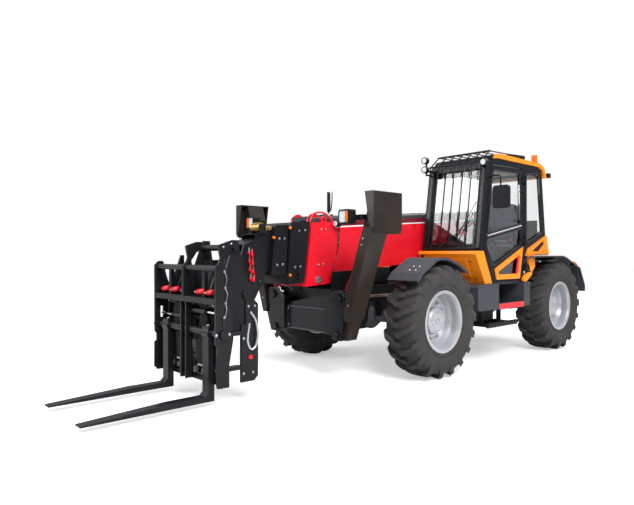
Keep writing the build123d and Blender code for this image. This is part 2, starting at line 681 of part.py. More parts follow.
def cab_glass():
    """Panes set in the shell's openings."""
    span = (cab_x[0] + 55 + running, cab_x[1] - 55 - running)
    x_in = cab_x[1] - cab_wall / 2
    left = sheet_yz(grow(windows_left, -running), (x_in - pane / 2, x_in + pane / 2))
    x_in = cab_x[0] + cab_wall / 2
    side = sheet_yz(grow(windows_right, -running), (x_in - pane / 2, x_in + pane / 2))
    lean = (975 - 830) / (2365 - 1353)
    low, high = 1410 + running, 2330 - running

    def front_y(z):
        return 830 + 20 + (z - 1353) * lean
    front = plate_yz([(front_y(low), low), (front_y(high), high), (front_y(high) + pane, high),
                      (front_y(low) + pane, low)], span)
    low, high = 1600 + running, 2370 - running

    def back_y(z):
        return 2345 - 20 - (z - 2425) * (2455 - 2345) / (2425 - 1560)
    back = plate_yz([(back_y(low), low), (back_y(high), high), (back_y(high) - pane, high),
                     (back_y(low) - pane, low)], span)
    roof = block(span, (1180 + running, 2150 - running), (2440, 2440 + pane))
    return left, side, front, back, roof


save("cab_glass", *cab_glass())

roof_line = [(1070, 2452), (1110, 2492), (1220, 2520), (2250, 2512), (2380, 2470), (2430, 2395), (2445, 2330),
             (2395, 2330), (2352, 2425), (2232, 2463), (1198, 2463), (1090, 2446)]


def cladding():
    """Yellow panels: roof cap, cowl under the windscreen, rear quarter panel."""
    roof = plate_yz(roof_line, (cab_x[0], cab_x[1] + 22))
    roof -= block((cab_x[0] + 60, cab_x[1] - 55), (1180, 2150), (2400, 2600))
    roof -= plate_yz([(2250, 2300), (2250, 2460), (2500, 2460), (2500, 2300)], (cab_x[0] - 1, cab_x[0] + 20))
    roof = roof - plate_yz(cab_side, (cab_x[0] - 1, cab_x[1] + running))
    cowl = plate_yz([(727, 1310), (738, 1346), (900, 1346), (1088, 958), (934, 958)], (cab_x[0], cab_x[1] + 6))
    cowl -= plate_yz([(760, 1300), (775, 1326), (886, 1326), (1050, 978), (950, 978)], (cab_x[0] + 20, cab_x[1] - 14))
    quarter = [(1958, 1378), (2462, 1562), (2540, 1300), (1905, 1300)]
    slot = [(2060, 1345), (2370, 1490), (2400, 1440), (2250, 1345)]
    panel = plate_yz(quarter, (cab_x[1] + running, cab_x[1] + 14))
    panel -= plate_yz(slot, (cab_x[1] - 1, cab_x[1] + 20))
    return roof, cowl, panel


save("cab_cladding", *cladding())


def guard():
    """Bars before the windscreen that run on over the roof."""
    r = 8
    count = 7
    x0, x1 = cab_x[0] + 40, cab_x[1] - 45
    bottom, top, crown = (775, 1372), (930, 2405), (1110, 2548)
    back = (1930, 2572)
    shape = None
    for i in range(count):
        x = x0 + (x1 - x0) * i / (count - 1)
        points = [(x, *bottom), (x, *top), (x, *crown), (x, *back)]
        for p, q in zip(points, points[1:]):
            piece = strut(p, q, r)
            shape = piece if shape is None else shape + piece
        shape += Pos(*points[1]) * Sphere(r) + Pos(*points[2]) * Sphere(r)
    for y, z in (bottom, top, crown, back):
        shape += bar_x(r + 4, (x0 - 12, x1 + 12), y, z)
    shape += plate_yz([(1600, 2556), (1600, 2566), (1935, 2582), (1966, 2566), (1950, 2548)], (x0 - 12, x1 + 12))
    for x in (x0, x1):
        shape += block((x - 10, x + 10), (bottom[0], 830), (1360, 1384))
        shape += block((x - 10, x + 10), (1900, 1960), (2515 + running, 2572))
        shape += block((x - 10, x + 10), (900, 971), (2340, 2364))
    return shape


save("window_guard", guard())


floor = cab_floor_z + cab_wall
seat_z = floor + 340


def interior():
    """Seat pedestal, steering column and side console, standing on the floor."""
    pedestal = block((450, 850), (1480, 1770), (floor + running, seat_z))
    column = plate_yz([(1130, floor + running), (1290, floor + running), (1330, 1500), (1240, 1560)], (600, 760))
    column += strut((680, 1270, 1500), (680, 1340, 1640), 22)
    plane = Plane(origin=(680, 1340, 1640), z_dir=(0, 0.45, 0.9))
    column += plane * (Torus(180, 13) + Box(360, 26, 14) + Box(26, 360, 14))
    console = block((300, 385), (1250, 1750), (floor + running, floor + 540))
    return pedestal, column, console


def seat():
    """Cushion and backrest on the pedestal."""
    cushion = block((400, 900), (1430, 1930), (seat_z, seat_z + 115))
    cushion = fillet(cushion.edges().filter_by(Axis.Z), 60)
    cushion = fillet(cushion.edges().group_by(Axis.Z)[-1], 25)
    back = plate_yz([(1932, seat_z), (2012, seat_z), (2105, 1985), (2080, 2015), (2035, 2010), (2010, 1975)], (420, 880))
    return cushion, back


save("cab_interior", *interior())
save("seat", *seat())

door_x = (cab_x[1] - cab_wall, cab_x[1])
upper_light = [(985, 1545), (1098, 2268), (1135, 2318), (1772, 2338), (1784, 1690)]
lower_light = [(960, 1395), (975, 1490), (1786, 1635), (1792, 1430), (1130, 1165), (1160, 1040), (1140, 1040)]
wedge = [(1140, 1130), (1828, 1400), (1740, 1000), (1185, 1000)]


def door():
    frame = plate_yz(door_side, door_x)
    frame -= plate_yz(upper_light, (door_x[0] - 1, door_x[1] + 1))
    frame -= plate_yz(lower_light[:5] + [(1105, 1150)], (door_x[0] - 1, door_x[1] + 1))
    inner = grow(wedge, -62)
    frame -= sheet_yz(inner, (door_x[0] - 1, door_x[1] + 1))
    for z in hinge_z:
        frame += bar_z(10, *hinge, (z - 40, z + 40))
        frame += block((door_x[1] - 2, hinge[0]), (1780, 1830), (z - 30, z + 30))
        frame += block((door_x[1] + 1, hinge[0]), (1780, hinge[1]), (z - 30, z + 30))
    frame += tube_path([(door_x[1] - 1, 1805, 1830), (door_x[1] + 45, 1805, 1850), (door_x[1] + 45, 1805, 2080),
                        (door_x[1] - 1, 1805, 2100)], 9, 18)
    return frame


def door_glass():
    x = (door_x[0] + 17, door_x[0] + 17 + pane)
    return (sheet_yz(grow(upper_light, -running), x),
            sheet_yz(grow(lower_light[:5] + [(1105, 1150)], -running), x),
            sheet_yz(grow(wedge, -62 - running), x))


def door_panel():
    panel = plate_yz(wedge, (door_x[1] + running, door_x[1] + 12))
    return panel - sheet_yz(grow(wedge, -62), (door_x[1] - 1, door_x[1] + 20))


save("door_frame", door())
save("door_glass", *door_glass())
save("door_panel", door_panel())

# ---- steps, engine, lamps, mirrors ---------------------------------------


def step_box():
    """Sill with a closed box at each end of the step's recess."""
    low, high = 650, 955
    shape = block(step_x, (tyre_r + 122, step_y[0]), (low, high))
    shape = chamfer(shape.edges().filter_by(Axis.X).group_by(Axis.Y)[0], 30)
    shape += block(step_x, (step_y[1], step_end_y), (low, high))
    shape += block((step_x[0], step_x[0] + 30), step_y, (low, high))
    shape += block((step_x[0], step_x[1] - 30), step_y, (low, low + 20))
    shape += block((step_x[1] - 30, step_x[1]), step_y, (640, 715))
    shape += block((step_x[0], step_x[1] - 60), step_y, (high - 16, high))
    # lower step and its hangers
    shape += block((820, 1040), (1130, 1560), (428, 448))
    for i in range(6):
        y = 1165 + 60 * i
        shape -= block((850, 1010), (y, y + 26), (420, 450))
    for y in (1130, 1545):
        shape += block((840, 900), (y, y + 15), (440, low + 5))
    return shape


save("step_box", step_box())

tank_y = (tyre_r + 170, step_y[1] - 150)
tank_z = (436, 640)
tank_corner = 40
filler_r = 38


def fuel_tank():
    """Tank on the left side plate, between the front wheel and the sill."""
    shape = block((rail_x[1], step_x[0] - 15), tank_y, tank_z)
    shape = fillet(shape.edges().filter_by(Axis.X), tank_corner)
    return shape + bar_z(filler_r, 620, tank_y[0] + 60, (tank_z[1] - 10, tank_z[1] + 28))


save("fuel_tank", fuel_tank())

hood_x = (-1120, -290)
hood_y = (800, wheelbase - 820)
hood_z = 1130 + running     # the lid's lower edge, on the tray's rim


hood_line = [(hood_y[0], hood_z), (hood_y[0] + 30, 1500), (hood_y[0] + 160, 1640), (hood_y[1] - 60, 1690),
             (hood_y[1], 1680), (hood_y[1], hood_z)]


lid_hinge = (-276, 1655)    # (x, z) of the lid's hinge line
lid_pin_r = 9
lid_hinge_y = (1150, 1600)


def engine_bay():
    """Open tray that carries the engine, and the lid that closes it."""
    tray = block(hood_x, hood_y, (tray_z, 1130))
    tray -= block((hood_x[0] + 8, hood_x[1] - 8), (hood_y[0] + 8, hood_y[1] - 8), (712, 1131))
    tray += block((hood_x[0] + 16, hood_x[1] - 16), (hood_y[1] - 8, hood_y[1]), (1100, 1650))
    for y in lid_hinge_y:
        for ys in ((y - 60, y - 20 - running), (y + 20 + running, y + 60)):
            tray += bar_y(lid_pin_r, lid_hinge[0], ys, lid_hinge[1])
            tray += block((hood_x[1], lid_hinge[0]), ys, (1560, lid_hinge[1]))
    inner = sheet_yz(grow(hood_line, -28), (hood_x[1] - 8, hood_x[1]))
    tray += inner + block((hood_x[1] - 8, hood_x[1]), (hood_y[0] + 28, hood_y[1] - 28), (1100, 1200))
    return tray


def hood():
    shape = plate_yz(hood_line, hood_x)
    shape -= sheet_yz(grow(hood_line, -8), (hood_x[0] + 8, hood_x[1] + 1))
    shape -= block((hood_x[0] + 8, hood_x[1] + 1), (hood_y[0] + 8, hood_y[1] + 1), (1100, 1665))
    for i in range(9):
        y = 1000 + 60 * i
        shape -= block((hood_x[0] - 1, hood_x[0] + 9), (y, y + 34), (1240, 1500))
    for y in lid_hinge_y:
        edge = 1640 + 50 * (y - 960) / (hood_y[1] - 60 - 960)
        shape += bar_y(lid_pin_r, lid_hinge[0], (y - 20, y + 20), lid_hinge[1])
        zs = sorted((edge - 8, lid_hinge[1])) if edge < lid_hinge[1] else (lid_hinge[1], edge)
        shape += block((hood_x[1] - 2, lid_hinge[0]), (y - 20, y + 20), zs)
    return shape


save("engine_tray", engine_bay())
save("engine_hood", hood())
save("engine", block((-980, -420), (hood_y[0] + 60, hood_y[1] - 80), (712 + running, 1480)))


def lamp(x, y, z, r, depth):
    return bar_y(r, x, (y - depth, y), z)


def lamps():
    pieces = []
    # two lamps before the right front corner, clear of the rising boom
    lamp_x, lamp_y, stalk_t = cab_x[0] + 24, 867, 16
    stalk = block((lamp_x - stalk_t, lamp_x), (lamp_y, lamp_y + stalk_t), (2300, 2500))
    stalk += block((lamp_x - stalk_t, lamp_x), (lamp_y, 1000), (2300, 2320))
    stalk -= plate_yz(cab_side, (0, cab_x[1]))
    for z in (2372, 2486):
        stalk += lamp(lamp_x, lamp_y, z, 44, 50)
    pieces.append(stalk)
    left = lamp(1062, 925, 2385, 42, 50)
    left += block((1035, cab_x[1]), (925, 1020), (2372, 2398))
    left -= plate_yz(cab_side, (1000, 1100))
    pieces.append(left)
    rear = block((1010, 1060), (2530, 2600), (2350, 2410)) + block((1030, 1044), (2415, 2531), (2385, 2400))
    rear -= plate_yz(roof_line, (1000, 1100))
    pieces.append(rear)
    beacon = bar_z(38, 960, 2330, (2500, 2640)) + bar_z(46, 960, 2330, (2478, 2530))
    beacon -= plate_yz(roof_line, (800, 1100))
    pieces.append(beacon)
    for s in (-1, 1):
        pieces.append(block(sorted((s * 400, s * 490)), (bumper_y, bumper_y + 32), (810, 870)))
    return pieces


save("lamps", *lamps())
mirror_out = 1400
mirror_w = 200


def mirrors():
    pieces = []
    head = fillet(block((mirror_out - mirror_w, mirror_out), (850, 890), (1830, 2090)).edges().filter_by(Axis.Y), 35)
    elbow_x = mirror_out - 110
    arm = tube_path([(cab_x[1] - 10, 989, 2198), ((cab_x[1] + elbow_x) / 2, 930, 2220), (elbow_x, 870, 2200),
                     (elbow_x, 870, 2060)], 9, 45)
    arm -= block((cab_x[1] - 60, cab_x[1] + running), (940, 1040), (2150, 2250))
    pieces.append(head + arm)
    head = fillet(block((-mirror_w / 2, mirror_w / 2), (-22, 22), (0, 285)).edges().filter_by(Axis.Y), 35)
    post_x = -(mirror_out - 86)
    head = Pos(post_x, 650, 1915) * Rot(0, 0, 135) * head
    arm = tube_path([(-1090, hood_y[0] - running, 1060), (-1090, 750, 1060), (-1090, 750, 1760), (post_x, 750, 1860),
                     (post_x, 560, 1860)], 10, 30)
    arm += bar_z(10, post_x, 650, (1860, 1920))
    pieces.append(head + arm)
    return pieces


save("mirrors", *mirrors())

# tilt cylinder in the boom's nose
tilt_barrel, tilt_rod = cylinder_yz(tilt_base, tilt_eye, 50, 26, 36, 28)
tilt_barrel -= bar_x(tilt_base_r + running, (-60, 60), *tilt_base)
save("tilt_barrel", tilt_barrel)
save("tilt_rod", tilt_rod)
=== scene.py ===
"""Looks of the telescopic handler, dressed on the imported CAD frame.

Metres. +X is the machine's left, +Y its rear, +Z up. The origin is on the ground under the front axle.
"""
from math import cos, pi, radians, sin
import bmesh
import bpy
from mathutils import Matrix, Vector


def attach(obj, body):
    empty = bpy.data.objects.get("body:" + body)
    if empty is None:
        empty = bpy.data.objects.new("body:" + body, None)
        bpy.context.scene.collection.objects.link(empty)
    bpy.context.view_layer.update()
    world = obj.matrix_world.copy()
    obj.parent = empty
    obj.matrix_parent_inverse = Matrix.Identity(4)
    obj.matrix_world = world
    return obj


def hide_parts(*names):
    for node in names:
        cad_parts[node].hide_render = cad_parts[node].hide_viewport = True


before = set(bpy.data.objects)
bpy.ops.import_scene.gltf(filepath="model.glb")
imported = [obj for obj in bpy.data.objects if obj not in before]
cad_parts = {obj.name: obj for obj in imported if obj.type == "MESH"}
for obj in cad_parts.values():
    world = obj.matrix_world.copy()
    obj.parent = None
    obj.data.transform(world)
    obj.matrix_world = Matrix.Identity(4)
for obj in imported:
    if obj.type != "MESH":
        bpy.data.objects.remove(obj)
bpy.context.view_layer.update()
SIDES = (("left", 1), ("right", -1))
WHEELBASE = 2.7
CORNERS = (("front_left", 1, 0.0), ("front_right", -1, 0.0),
           ("rear_left", 1, WHEELBASE), ("rear_right", -1, WHEELBASE))
LEFT, RIGHT, FRONT, REAR, UP, DOWN = (1, 0, 0), (-1, 0, 0), (0, -1, 0), (0, 1, 0), (0, 0, 1), (0, 0, -1)

# ---- colours (linear) -------------------------------------------------------
YELLOW = (0.95, 0.265, 0.006)
RED = (0.74, 0.007, 0.020)
# red darkened as painted shade, for red parts seen in shade: the boom's top chamfer, its hollow rear end and the
# stabiliser barrels
SHADED_RED = (0.16, 0.004, 0.014)
BLACK = (0.006, 0.007, 0.009)
CHARCOAL = (0.009, 0.0095, 0.011)
SLATE = (0.045, 0.048, 0.058)
GREY = (0.070, 0.073, 0.080)
SILVER = (0.50, 0.51, 0.53)
WHITE = (0.80, 0.80, 0.80)
RUBBER = (0.040, 0.037, 0.036)
AMBER = (0.90, 0.15, 0.003)
BRASS = (0.62, 0.40, 0.14)


# ---- materials ---------------------------------------------------------------
def wired(tree, node, inputs):
    """A node with its inputs set: a socket is linked, anything else is the input's value."""
    for name, value in inputs.items():
        if isinstance(value, bpy.types.NodeSocket):
            tree.links.new(value, node.inputs[name])
        else:
            node.inputs[name].default_value = value
    return node


def added(tree, kind, inputs={}):
    return wired(tree, tree.nodes.new("ShaderNode" + kind), inputs)


def set_stops(ramp, *stops):
    """Position and colour of a colour ramp's two ends."""
    for element, (position, color) in zip(ramp.color_ramp.elements, stops):
        element.position = position
        element.color = color


def principled(name):
    mat = bpy.data.materials.new(name)
    mat.use_nodes = True
    return mat, mat.node_tree, mat.node_tree.nodes["Principled BSDF"]


def tinted(color, factor):
    return tuple(min(1.0, c * factor) for c in color) + (1.0,)


def surface(name, color, rough=0.45, metal=0.0, coat=0.0, spread=0.12, patch=1.6, grain=420.0, bump=0.04,
            depth=0.0006, rough_spread=0.08, spec=0.30):
    """Principled material: patchy colour, uneven gloss and a fine bump, all in object space."""
    mat, tree, shader = principled(name)
    mat.diffuse_color = (*color, 1.0)
    where = added(tree, "TexCoord").outputs["Object"]
    broad = added(tree, "TexNoise", {"Vector": where, "Scale": patch, "Detail": 6.0}).outputs["Fac"]
    fine = added(tree, "TexNoise", {"Vector": where, "Scale": grain, "Detail": 3.0}).outputs["Fac"]
    ramp = added(tree, "ValToRGB", {"Fac": broad})
    set_stops(ramp, (0.32, tinted(color, 1.0 - spread)), (0.68, tinted(color, 1.0 + spread)))
    gloss = added(tree, "MapRange", {"Value": broad, "To Min": max(0.02, rough - rough_spread),
                                     "To Max": rough + rough_spread})
    relief = added(tree, "Bump", {"Height": fine, "Strength": bump, "Distance": depth})
    wired(tree, shader, {"Metallic": metal, "Specular IOR Level": spec, "Coat Weight": coat, "Coat Roughness": 0.08,
                         "Base Color": ramp.outputs["Color"], "Roughness": gloss.outputs["Result"],
                         "Normal": relief.outputs["Normal"]})
    return mat


def clear_glass(name, color, rough=0.02):
    """Thin pane: mostly see-through, with a faint tint and the sky's gloss on it."""
    mat, tree, shader = principled(name)
    where = added(tree, "TexCoord").outputs["Object"]
    haze = added(tree, "TexNoise", {"Vector": where, "Scale": 2.2})
    smear = added(tree, "MapRange", {"Value": haze.outputs["Fac"], "To Min": rough * 0.3, "To Max": rough})
    wired(tree, shader, {"Base Color": (*color, 1.0), "IOR": 1.45, "Transmission Weight": 1.0,
                         "Roughness": smear.outputs["Result"]})
    return mat


def lens(name, color, ribs=90.0):
    """Moulded lens with fine vertical ribs, which take the place of the surface's own bump."""
    mat = surface(name, color, rough=0.16, coat=0.2, spread=0.06, patch=9.0)
    tree = mat.node_tree
    where = added(tree, "TexCoord").outputs["Object"]
    wave = added(tree, "TexWave", {"Vector": where, "Scale": ribs})
    relief = added(tree, "Bump", {"Height": wave.outputs["Fac"], "Strength": 0.5, "Distance": 0.002})
    wired(tree, tree.nodes["Principled BSDF"], {"Normal": relief.outputs["Normal"]})
    return mat


M = {
    "yellow": surface("yellow_paint", YELLOW, rough=0.30, coat=0.15, spread=0.05, bump=0.03),
    "red": surface("red_paint", RED, rough=0.30, coat=0.20, spread=0.06, bump=0.03),
    "shaded_red": surface("shaded_red_paint", SHADED_RED, rough=0.35, coat=0.3, spread=0.08),
    "white": surface("white_paint", WHITE, rough=0.35, spread=0.03),
    "black": surface("black_paint", CHARCOAL, rough=0.34, coat=0.06, spread=0.14, bump=0.05, spec=0.20),
    "cab": surface("cab_paint", BLACK, rough=0.30, coat=0.12, spread=0.10, spec=0.20),
    "trim": surface("black_trim", BLACK, rough=0.50, spread=0.15, bump=0.1, spec=0.20),
    # black paint of the arms; its brown tint is a painted reflection of the studio on their gloss
    "arm": surface("stabiliser_paint_and_reflection", (0.024, 0.018, 0.014), rough=0.36, coat=0.08, spread=0.30, patch=2.4,
                   bump=0.06, spec=0.22),
    "lining": surface("headlining", (0.40, 0.37, 0.31), rough=0.85, spread=0.05, grain=1200.0, bump=0.3),
    "seat": surface("seat_cover", (0.085, 0.105, 0.14), rough=0.85, spread=0.10, grain=1500.0, bump=0.8,
                    depth=0.0008),
    "slate": surface("slate_paint", SLATE, rough=0.40, coat=0.1, spread=0.08),
    "grey": surface("grey_paint", GREY, rough=0.45, spread=0.08),
    "silver": surface("silver_paint", SILVER, rough=0.34, metal=0.65, coat=0.1, spread=0.05, bump=0.05),
    "steel": surface("bare_steel", (0.46, 0.46, 0.47), rough=0.30, metal=1.0, spread=0.12, grain=900.0),
    "chrome": surface("chrome", (0.80, 0.80, 0.82), rough=0.09, metal=1.0, spread=0.03, rough_spread=0.03),
    "brass": surface("brass", BRASS, rough=0.32, metal=1.0, spread=0.10),
    "rubber": surface("tyre_rubber", RUBBER, rough=0.78, spread=0.16, patch=5.0, grain=260.0, bump=0.35,
                      depth=0.0012),
    "hose": surface("hose_rubber", (0.014, 0.014, 0.015), rough=0.55, spread=0.12, grain=700.0, bump=0.2),
    "plastic": surface("moulded_plastic", (0.046, 0.049, 0.058), rough=0.46, spread=0.08, grain=900.0, bump=0.35,
                       depth=0.0004),
    "iron": surface("cast_iron", (0.10, 0.10, 0.105), rough=0.7, metal=0.3, spread=0.2, grain=180.0, bump=0.4),
    "cloth": surface("seat_cloth", (0.045, 0.046, 0.052), rough=0.9, spread=0.15, grain=1500.0, bump=0.8,
                     depth=0.0008),
    "amber": lens("amber_lens", AMBER),
    "tail": lens("red_lens", (0.75, 0.012, 0.010)),
    "clear": lens("clear_lens", (0.66, 0.69, 0.72), ribs=60.0),
    "glass": clear_glass("window_glass", (0.96, 0.98, 0.98)),
    "mirror": surface("mirror_face", (0.85, 0.87, 0.88), rough=0.03, metal=1.0, spread=0.01, rough_spread=0.01,
                      bump=0.0),
}


# ---- shapes: every helper returns (vertices, faces), and takes a list of shapes where it takes one -------------
def whole(shapes):
    """One shape from a list of shapes; a single shape stays as it is."""
    if not isinstance(shapes, list):
        return shapes
    verts, faces = [], []
    for v, f in shapes:
        base = len(verts)
        verts += [tuple(p) for p in v]
        faces += [tuple(base + i for i in face) for face in f]
    return verts, faces


def area_of(points):
    """Area inside a flat outline, below zero where it runs clockwise."""
    return sum(p[0] * q[1] - q[0] * p[1] for p, q in zip(points, points[1:] + points[:1])) / 2


def prism(points, axis, lo, hi):
    """Flat outline carried along an axis: points are the other two coordinates, in cyclic order after it."""
    n = len(points)
    if area_of(points) < 0:
        points = points[::-1]

    def place(p, level):
        a, b = p
        return {"x": (level, a, b), "y": (b, level, a), "z": (a, b, level)}[axis]
    verts = [place(p, lo) for p in points] + [place(p, hi) for p in points]
    faces = [tuple(reversed(range(n))), tuple(range(n, 2 * n))]
    faces += [(i, (i + 1) % n, n + (i + 1) % n, n + i) for i in range(n)]
    return verts, faces


def rect(a, b):
    """Outline of a rectangle between two pairs of limits."""
    return [(a[0], b[0]), (a[1], b[0]), (a[1], b[1]), (a[0], b[1])]


def box(x, y, z):
    return prism(rect(y, z), "x", *x)


def across(direction):
    """Rotation that carries +Z on to a direction."""
    return Vector((0, 0, 1)).rotation_difference(Vector(direction).normalized()).to_matrix()


def turned(profile, centre, direction, n=40):
    """Solid of revolution: profile holds (distance along the axis, radius) from one end to the other.

    A profile that ends where it starts makes a ring, and has no end faces.
    """
    turn, origin = across(direction), Vector(centre)
    verts, faces, rings = [], [], []
    for along, radius in profile:
        if radius < 1e-6:
            rings.append([len(verts)])
            verts.append(origin + turn @ Vector((0, 0, along)))
            continue
        rings.append(list(range(len(verts), len(verts) + n)))
        for i in range(n):
            a = 2 * pi * i / n
            verts.append(origin + turn @ Vector((radius * cos(a), radius * sin(a), along)))
    for low, high in zip(rings, rings[1:]):
        for i in range(n):
            a, b = low[i % len(low)], low[(i + 1) % len(low)]
            c, d = high[(i + 1) % len(high)], high[i % len(high)]
            faces.append(tuple(dict.fromkeys((a, b, c, d))))
    if profile[0] != profile[-1]:
        if len(rings[0]) > 1:
            faces.append(tuple(reversed(rings[0])))
        if len(rings[-1]) > 1:
            faces.append(tuple(rings[-1]))
    return verts, faces


def disc(at, direction, r, h, n):
    return turned([(0, r), (h, r)], at, direction, n)


def cap(at, direction, r, h, top, tip, n):
    """Disc of radius r and height h, with a chamfer from there to radius tip at height top."""
    return turned([(0, r), (h, r), (top, tip)], at, direction, n)


def hoop(at, direction, inner, outer, half, n):
    """Flat ring, as wide as twice half."""
    return turned([(-half, inner), (-half, outer), (half, outer), (half, inner), (-half, inner)], at, direction, n)


def rod(p, q, r, n=20):
    return disc(p, Vector(q) - Vector(p), r, (Vector(q) - Vector(p)).length, n)


def bolt(at, direction, r=0.011, h=0.009):
    """Hexagon head on its washer, with the stud's end."""
    return whole([turned([(0, r * 1.45), (h * 0.25, r * 1.45)], at, direction, 20),
                  turned([(h * 0.25, r * 1.1), (h * 0.9, r * 1.1), (h, r * 0.95)], at, direction, 6),
                  turned([(h, r * 0.5), (h * 1.35, r * 0.5)], at, direction, 10)])


def smooth_path(points, steps=6):
    """Catmull-Rom curve through the points."""
    pts = [Vector(p) for p in points]
    pts = [2 * pts[0] - pts[1]] + pts + [2 * pts[-1] - pts[-2]]
    out = []
    for a, b, c, d in zip(pts, pts[1:], pts[2:], pts[3:]):
        for i in range(steps):
            t = i / steps
            out.append(0.5 * ((2 * b) + (c - a) * t + (2 * a - 5 * b + 4 * c - d) * t * t
                              + (3 * b - 3 * c + d - a) * t ** 3))
    return out + [pts[-2]]


def pipe(points, r, n=10, steps=6):
    """Round pipe or clamped hose: along a smooth curve, or straight from point to point with one step."""
    path = smooth_path(points, steps) if steps > 1 else [Vector(p) for p in points]
    verts, faces = [], []
    side = None
    for i, p in enumerate(path):
        ahead = (path[min(i + 1, len(path) - 1)] - path[max(i - 1, 0)]).normalized()
        if side is None:
            side = ahead.orthogonal().normalized()
        side = (side - ahead * side.dot(ahead)).normalized()
        up = ahead.cross(side)
        verts += [p + r * (side * cos(2 * pi * k / n) + up * sin(2 * pi * k / n)) for k in range(n)]
    for i in range(len(path) - 1):
        faces += [(i * n + k, i * n + (k + 1) % n, (i + 1) * n + (k + 1) % n, (i + 1) * n + k) for k in range(n)]
    faces.append(tuple(reversed(range(n))))
    faces.append(tuple(range(len(verts) - n, len(verts))))
    return verts, faces


def moved(shape, matrix):
    verts, faces = whole(shape)
    return [matrix @ Vector(v) for v in verts], faces


def flipped(shape):
    """Mirror image across the centre plane."""
    verts, faces = whole(shape)
    return [(-v[0], v[1], v[2]) for v in verts], [tuple(reversed(f)) for f in faces]


def both(shape):
    """The shape and its mirror image."""
    return whole([whole(shape), flipped(shape)])


def rounded(points, r, steps=5):
    """Outline with its corners rounded by r."""
    out = []
    n = len(points)
    for i in range(n):
        a, b, c = (Vector(points[(i + k) % n]) for k in (-1, 0, 1))
        u, v = (a - b).normalized(), (c - b).normalized()
        reach = min(r, (a - b).length * 0.48, (c - b).length * 0.48)
        p, q = b + u * reach, b + v * reach
        for k in range(steps + 1):
            t = k / steps
            out.append(tuple((1 - t) ** 2 * p + 2 * t * (1 - t) * b + t * t * q))
    return out


def edge_round(obj, width, angle=32):
    mod = obj.modifiers.new("edges", "BEVEL")
    mod.width = width
    mod.segments = 2
    mod.limit_method = "ANGLE"
    mod.angle_limit = radians(angle)
    mod.harden_normals = True
    mod.use_clamp_overlap = True


def build(name, shape, body, material, bevel=0.0, angle=32):
    """One object from a shape or a list of shapes, riding on a CAD body."""
    verts, faces = whole(shape)
    mesh = bpy.data.meshes.new(name)
    mesh.from_pydata([tuple(v) for v in verts], [], faces)
    bm = bmesh.new()
    bm.from_mesh(mesh)
    bmesh.ops.recalc_face_normals(bm, faces=bm.faces)
    for edge in bm.edges:
        edge.smooth = len(edge.link_faces) == 2 and edge.calc_face_angle(0) < radians(angle)
    for face in bm.faces:
        face.smooth = True
    bm.to_mesh(mesh)
    bm.free()
    obj = bpy.data.objects.new(name, mesh)
    bpy.context.scene.collection.objects.link(obj)
    mesh.materials.append(M[material])
    if bevel:
        edge_round(obj, bevel, angle)
    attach(obj, body)
    return obj


def on_chassis(name, shape, material, bevel=0.0):
    return build(name, shape, "chassis", material, bevel)


def build_side(side, name, shape, body, material, bevel=0.0):
    """A piece drawn for the left, built on its side: the right one is mirrored."""
    build(name + "_" + side, shape if side == "left" else flipped(shape), body, material, bevel)


# ---- carried-over CAD nodes ------------------------------------------------------
FINISHES = {
    "black": "boom_section_2 boom_section_3 boom_section_4 carrier_arms chassis_rails cross_members rear_bumper "
             "stabiliser_frame engine_tray fork_frame forks lift_barrel quick_hitch tilt_barrel",
    "trim": "cab_interior headlamps_left headlamps_right lamps mirrors",
    "cab": "cab_shell door_frame window_guard",
    "plastic": "fuel_tank fender_front_left fender_front_right fenders_rear step_box",
    "yellow": "cab_cladding door_panel engine_hood",
    "glass": "cab_glass door_glass",
    "chrome": "lift_rod tilt_rod stabiliser_rod_left stabiliser_rod_right",
    "arm": "stabiliser_arm_left stabiliser_arm_right",
    # stabiliser barrels: red paint darkened as painted shade inside the arms
    "shaded_red": "stabiliser_barrel_left stabiliser_barrel_right",
    "grey": "axles " + " ".join("knuckle_" + corner for corner, _, _ in CORNERS),
    "silver": " ".join("rim_" + corner for corner, _, _ in CORNERS),
    "rubber": " ".join("tyre_" + corner for corner, _, _ in CORNERS),
    "slate": "boom_cover", "red": "boom_outer", "cloth": "seat", "iron": "engine",
}
# width of the small round that breaks the edges of a node
EDGE_ROUNDS = {
    0.003: "boom_section_2 boom_section_3 boom_section_4 fork_frame quick_hitch stabiliser_frame fender_front_left "
           "fender_front_right fenders_rear chassis_rails",
    0.004: "door_panel door_frame boom_outer forks headlamps_left headlamps_right stabiliser_arm_left "
           "stabiliser_arm_right",
    0.005: "cab_shell rear_bumper",
    0.006: "fuel_tank mirrors",
    0.008: "boom_cover",
    0.010: "step_box engine_hood cab_interior",
    0.012: "cab_cladding",
}


def repaint(node, finish, low, high):
    """The faces of a CAD node whose middle lies in a box take another finish."""
    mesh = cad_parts[node].data
    mesh.materials.append(M[finish])
    for face in mesh.polygons:
        if all(a <= c <= b for a, c, b in zip(low, face.center, high)):
            face.material_index = len(mesh.materials) - 1


for finish, nodes in FINISHES.items():
    for node in nodes.split():
        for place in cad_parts[node].material_slots:
            place.material = M[finish]
repaint("lamps", "amber", (0.90, 2.28, 2.532), (1.02, 2.38, 2.65))
repaint("cab_cladding", "cab", (0.20, 1.06, 2.44), (1.04, 1.225, 2.53))
repaint("lamps", "tail", (0.39, 3.38, 0.80), (0.50, 3.41, 0.88))
repaint("lamps", "tail", (-0.50, 3.38, 0.80), (-0.39, 3.41, 0.88))
for width, nodes in EDGE_ROUNDS.items():
    for node in nodes.split():
        edge_round(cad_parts[node], width)


# ---- tyres ------------------------------------------------------------------------
WHEEL_X = 0.975
TYRE_R = 0.6
LUGS = 18
NUTS = 12


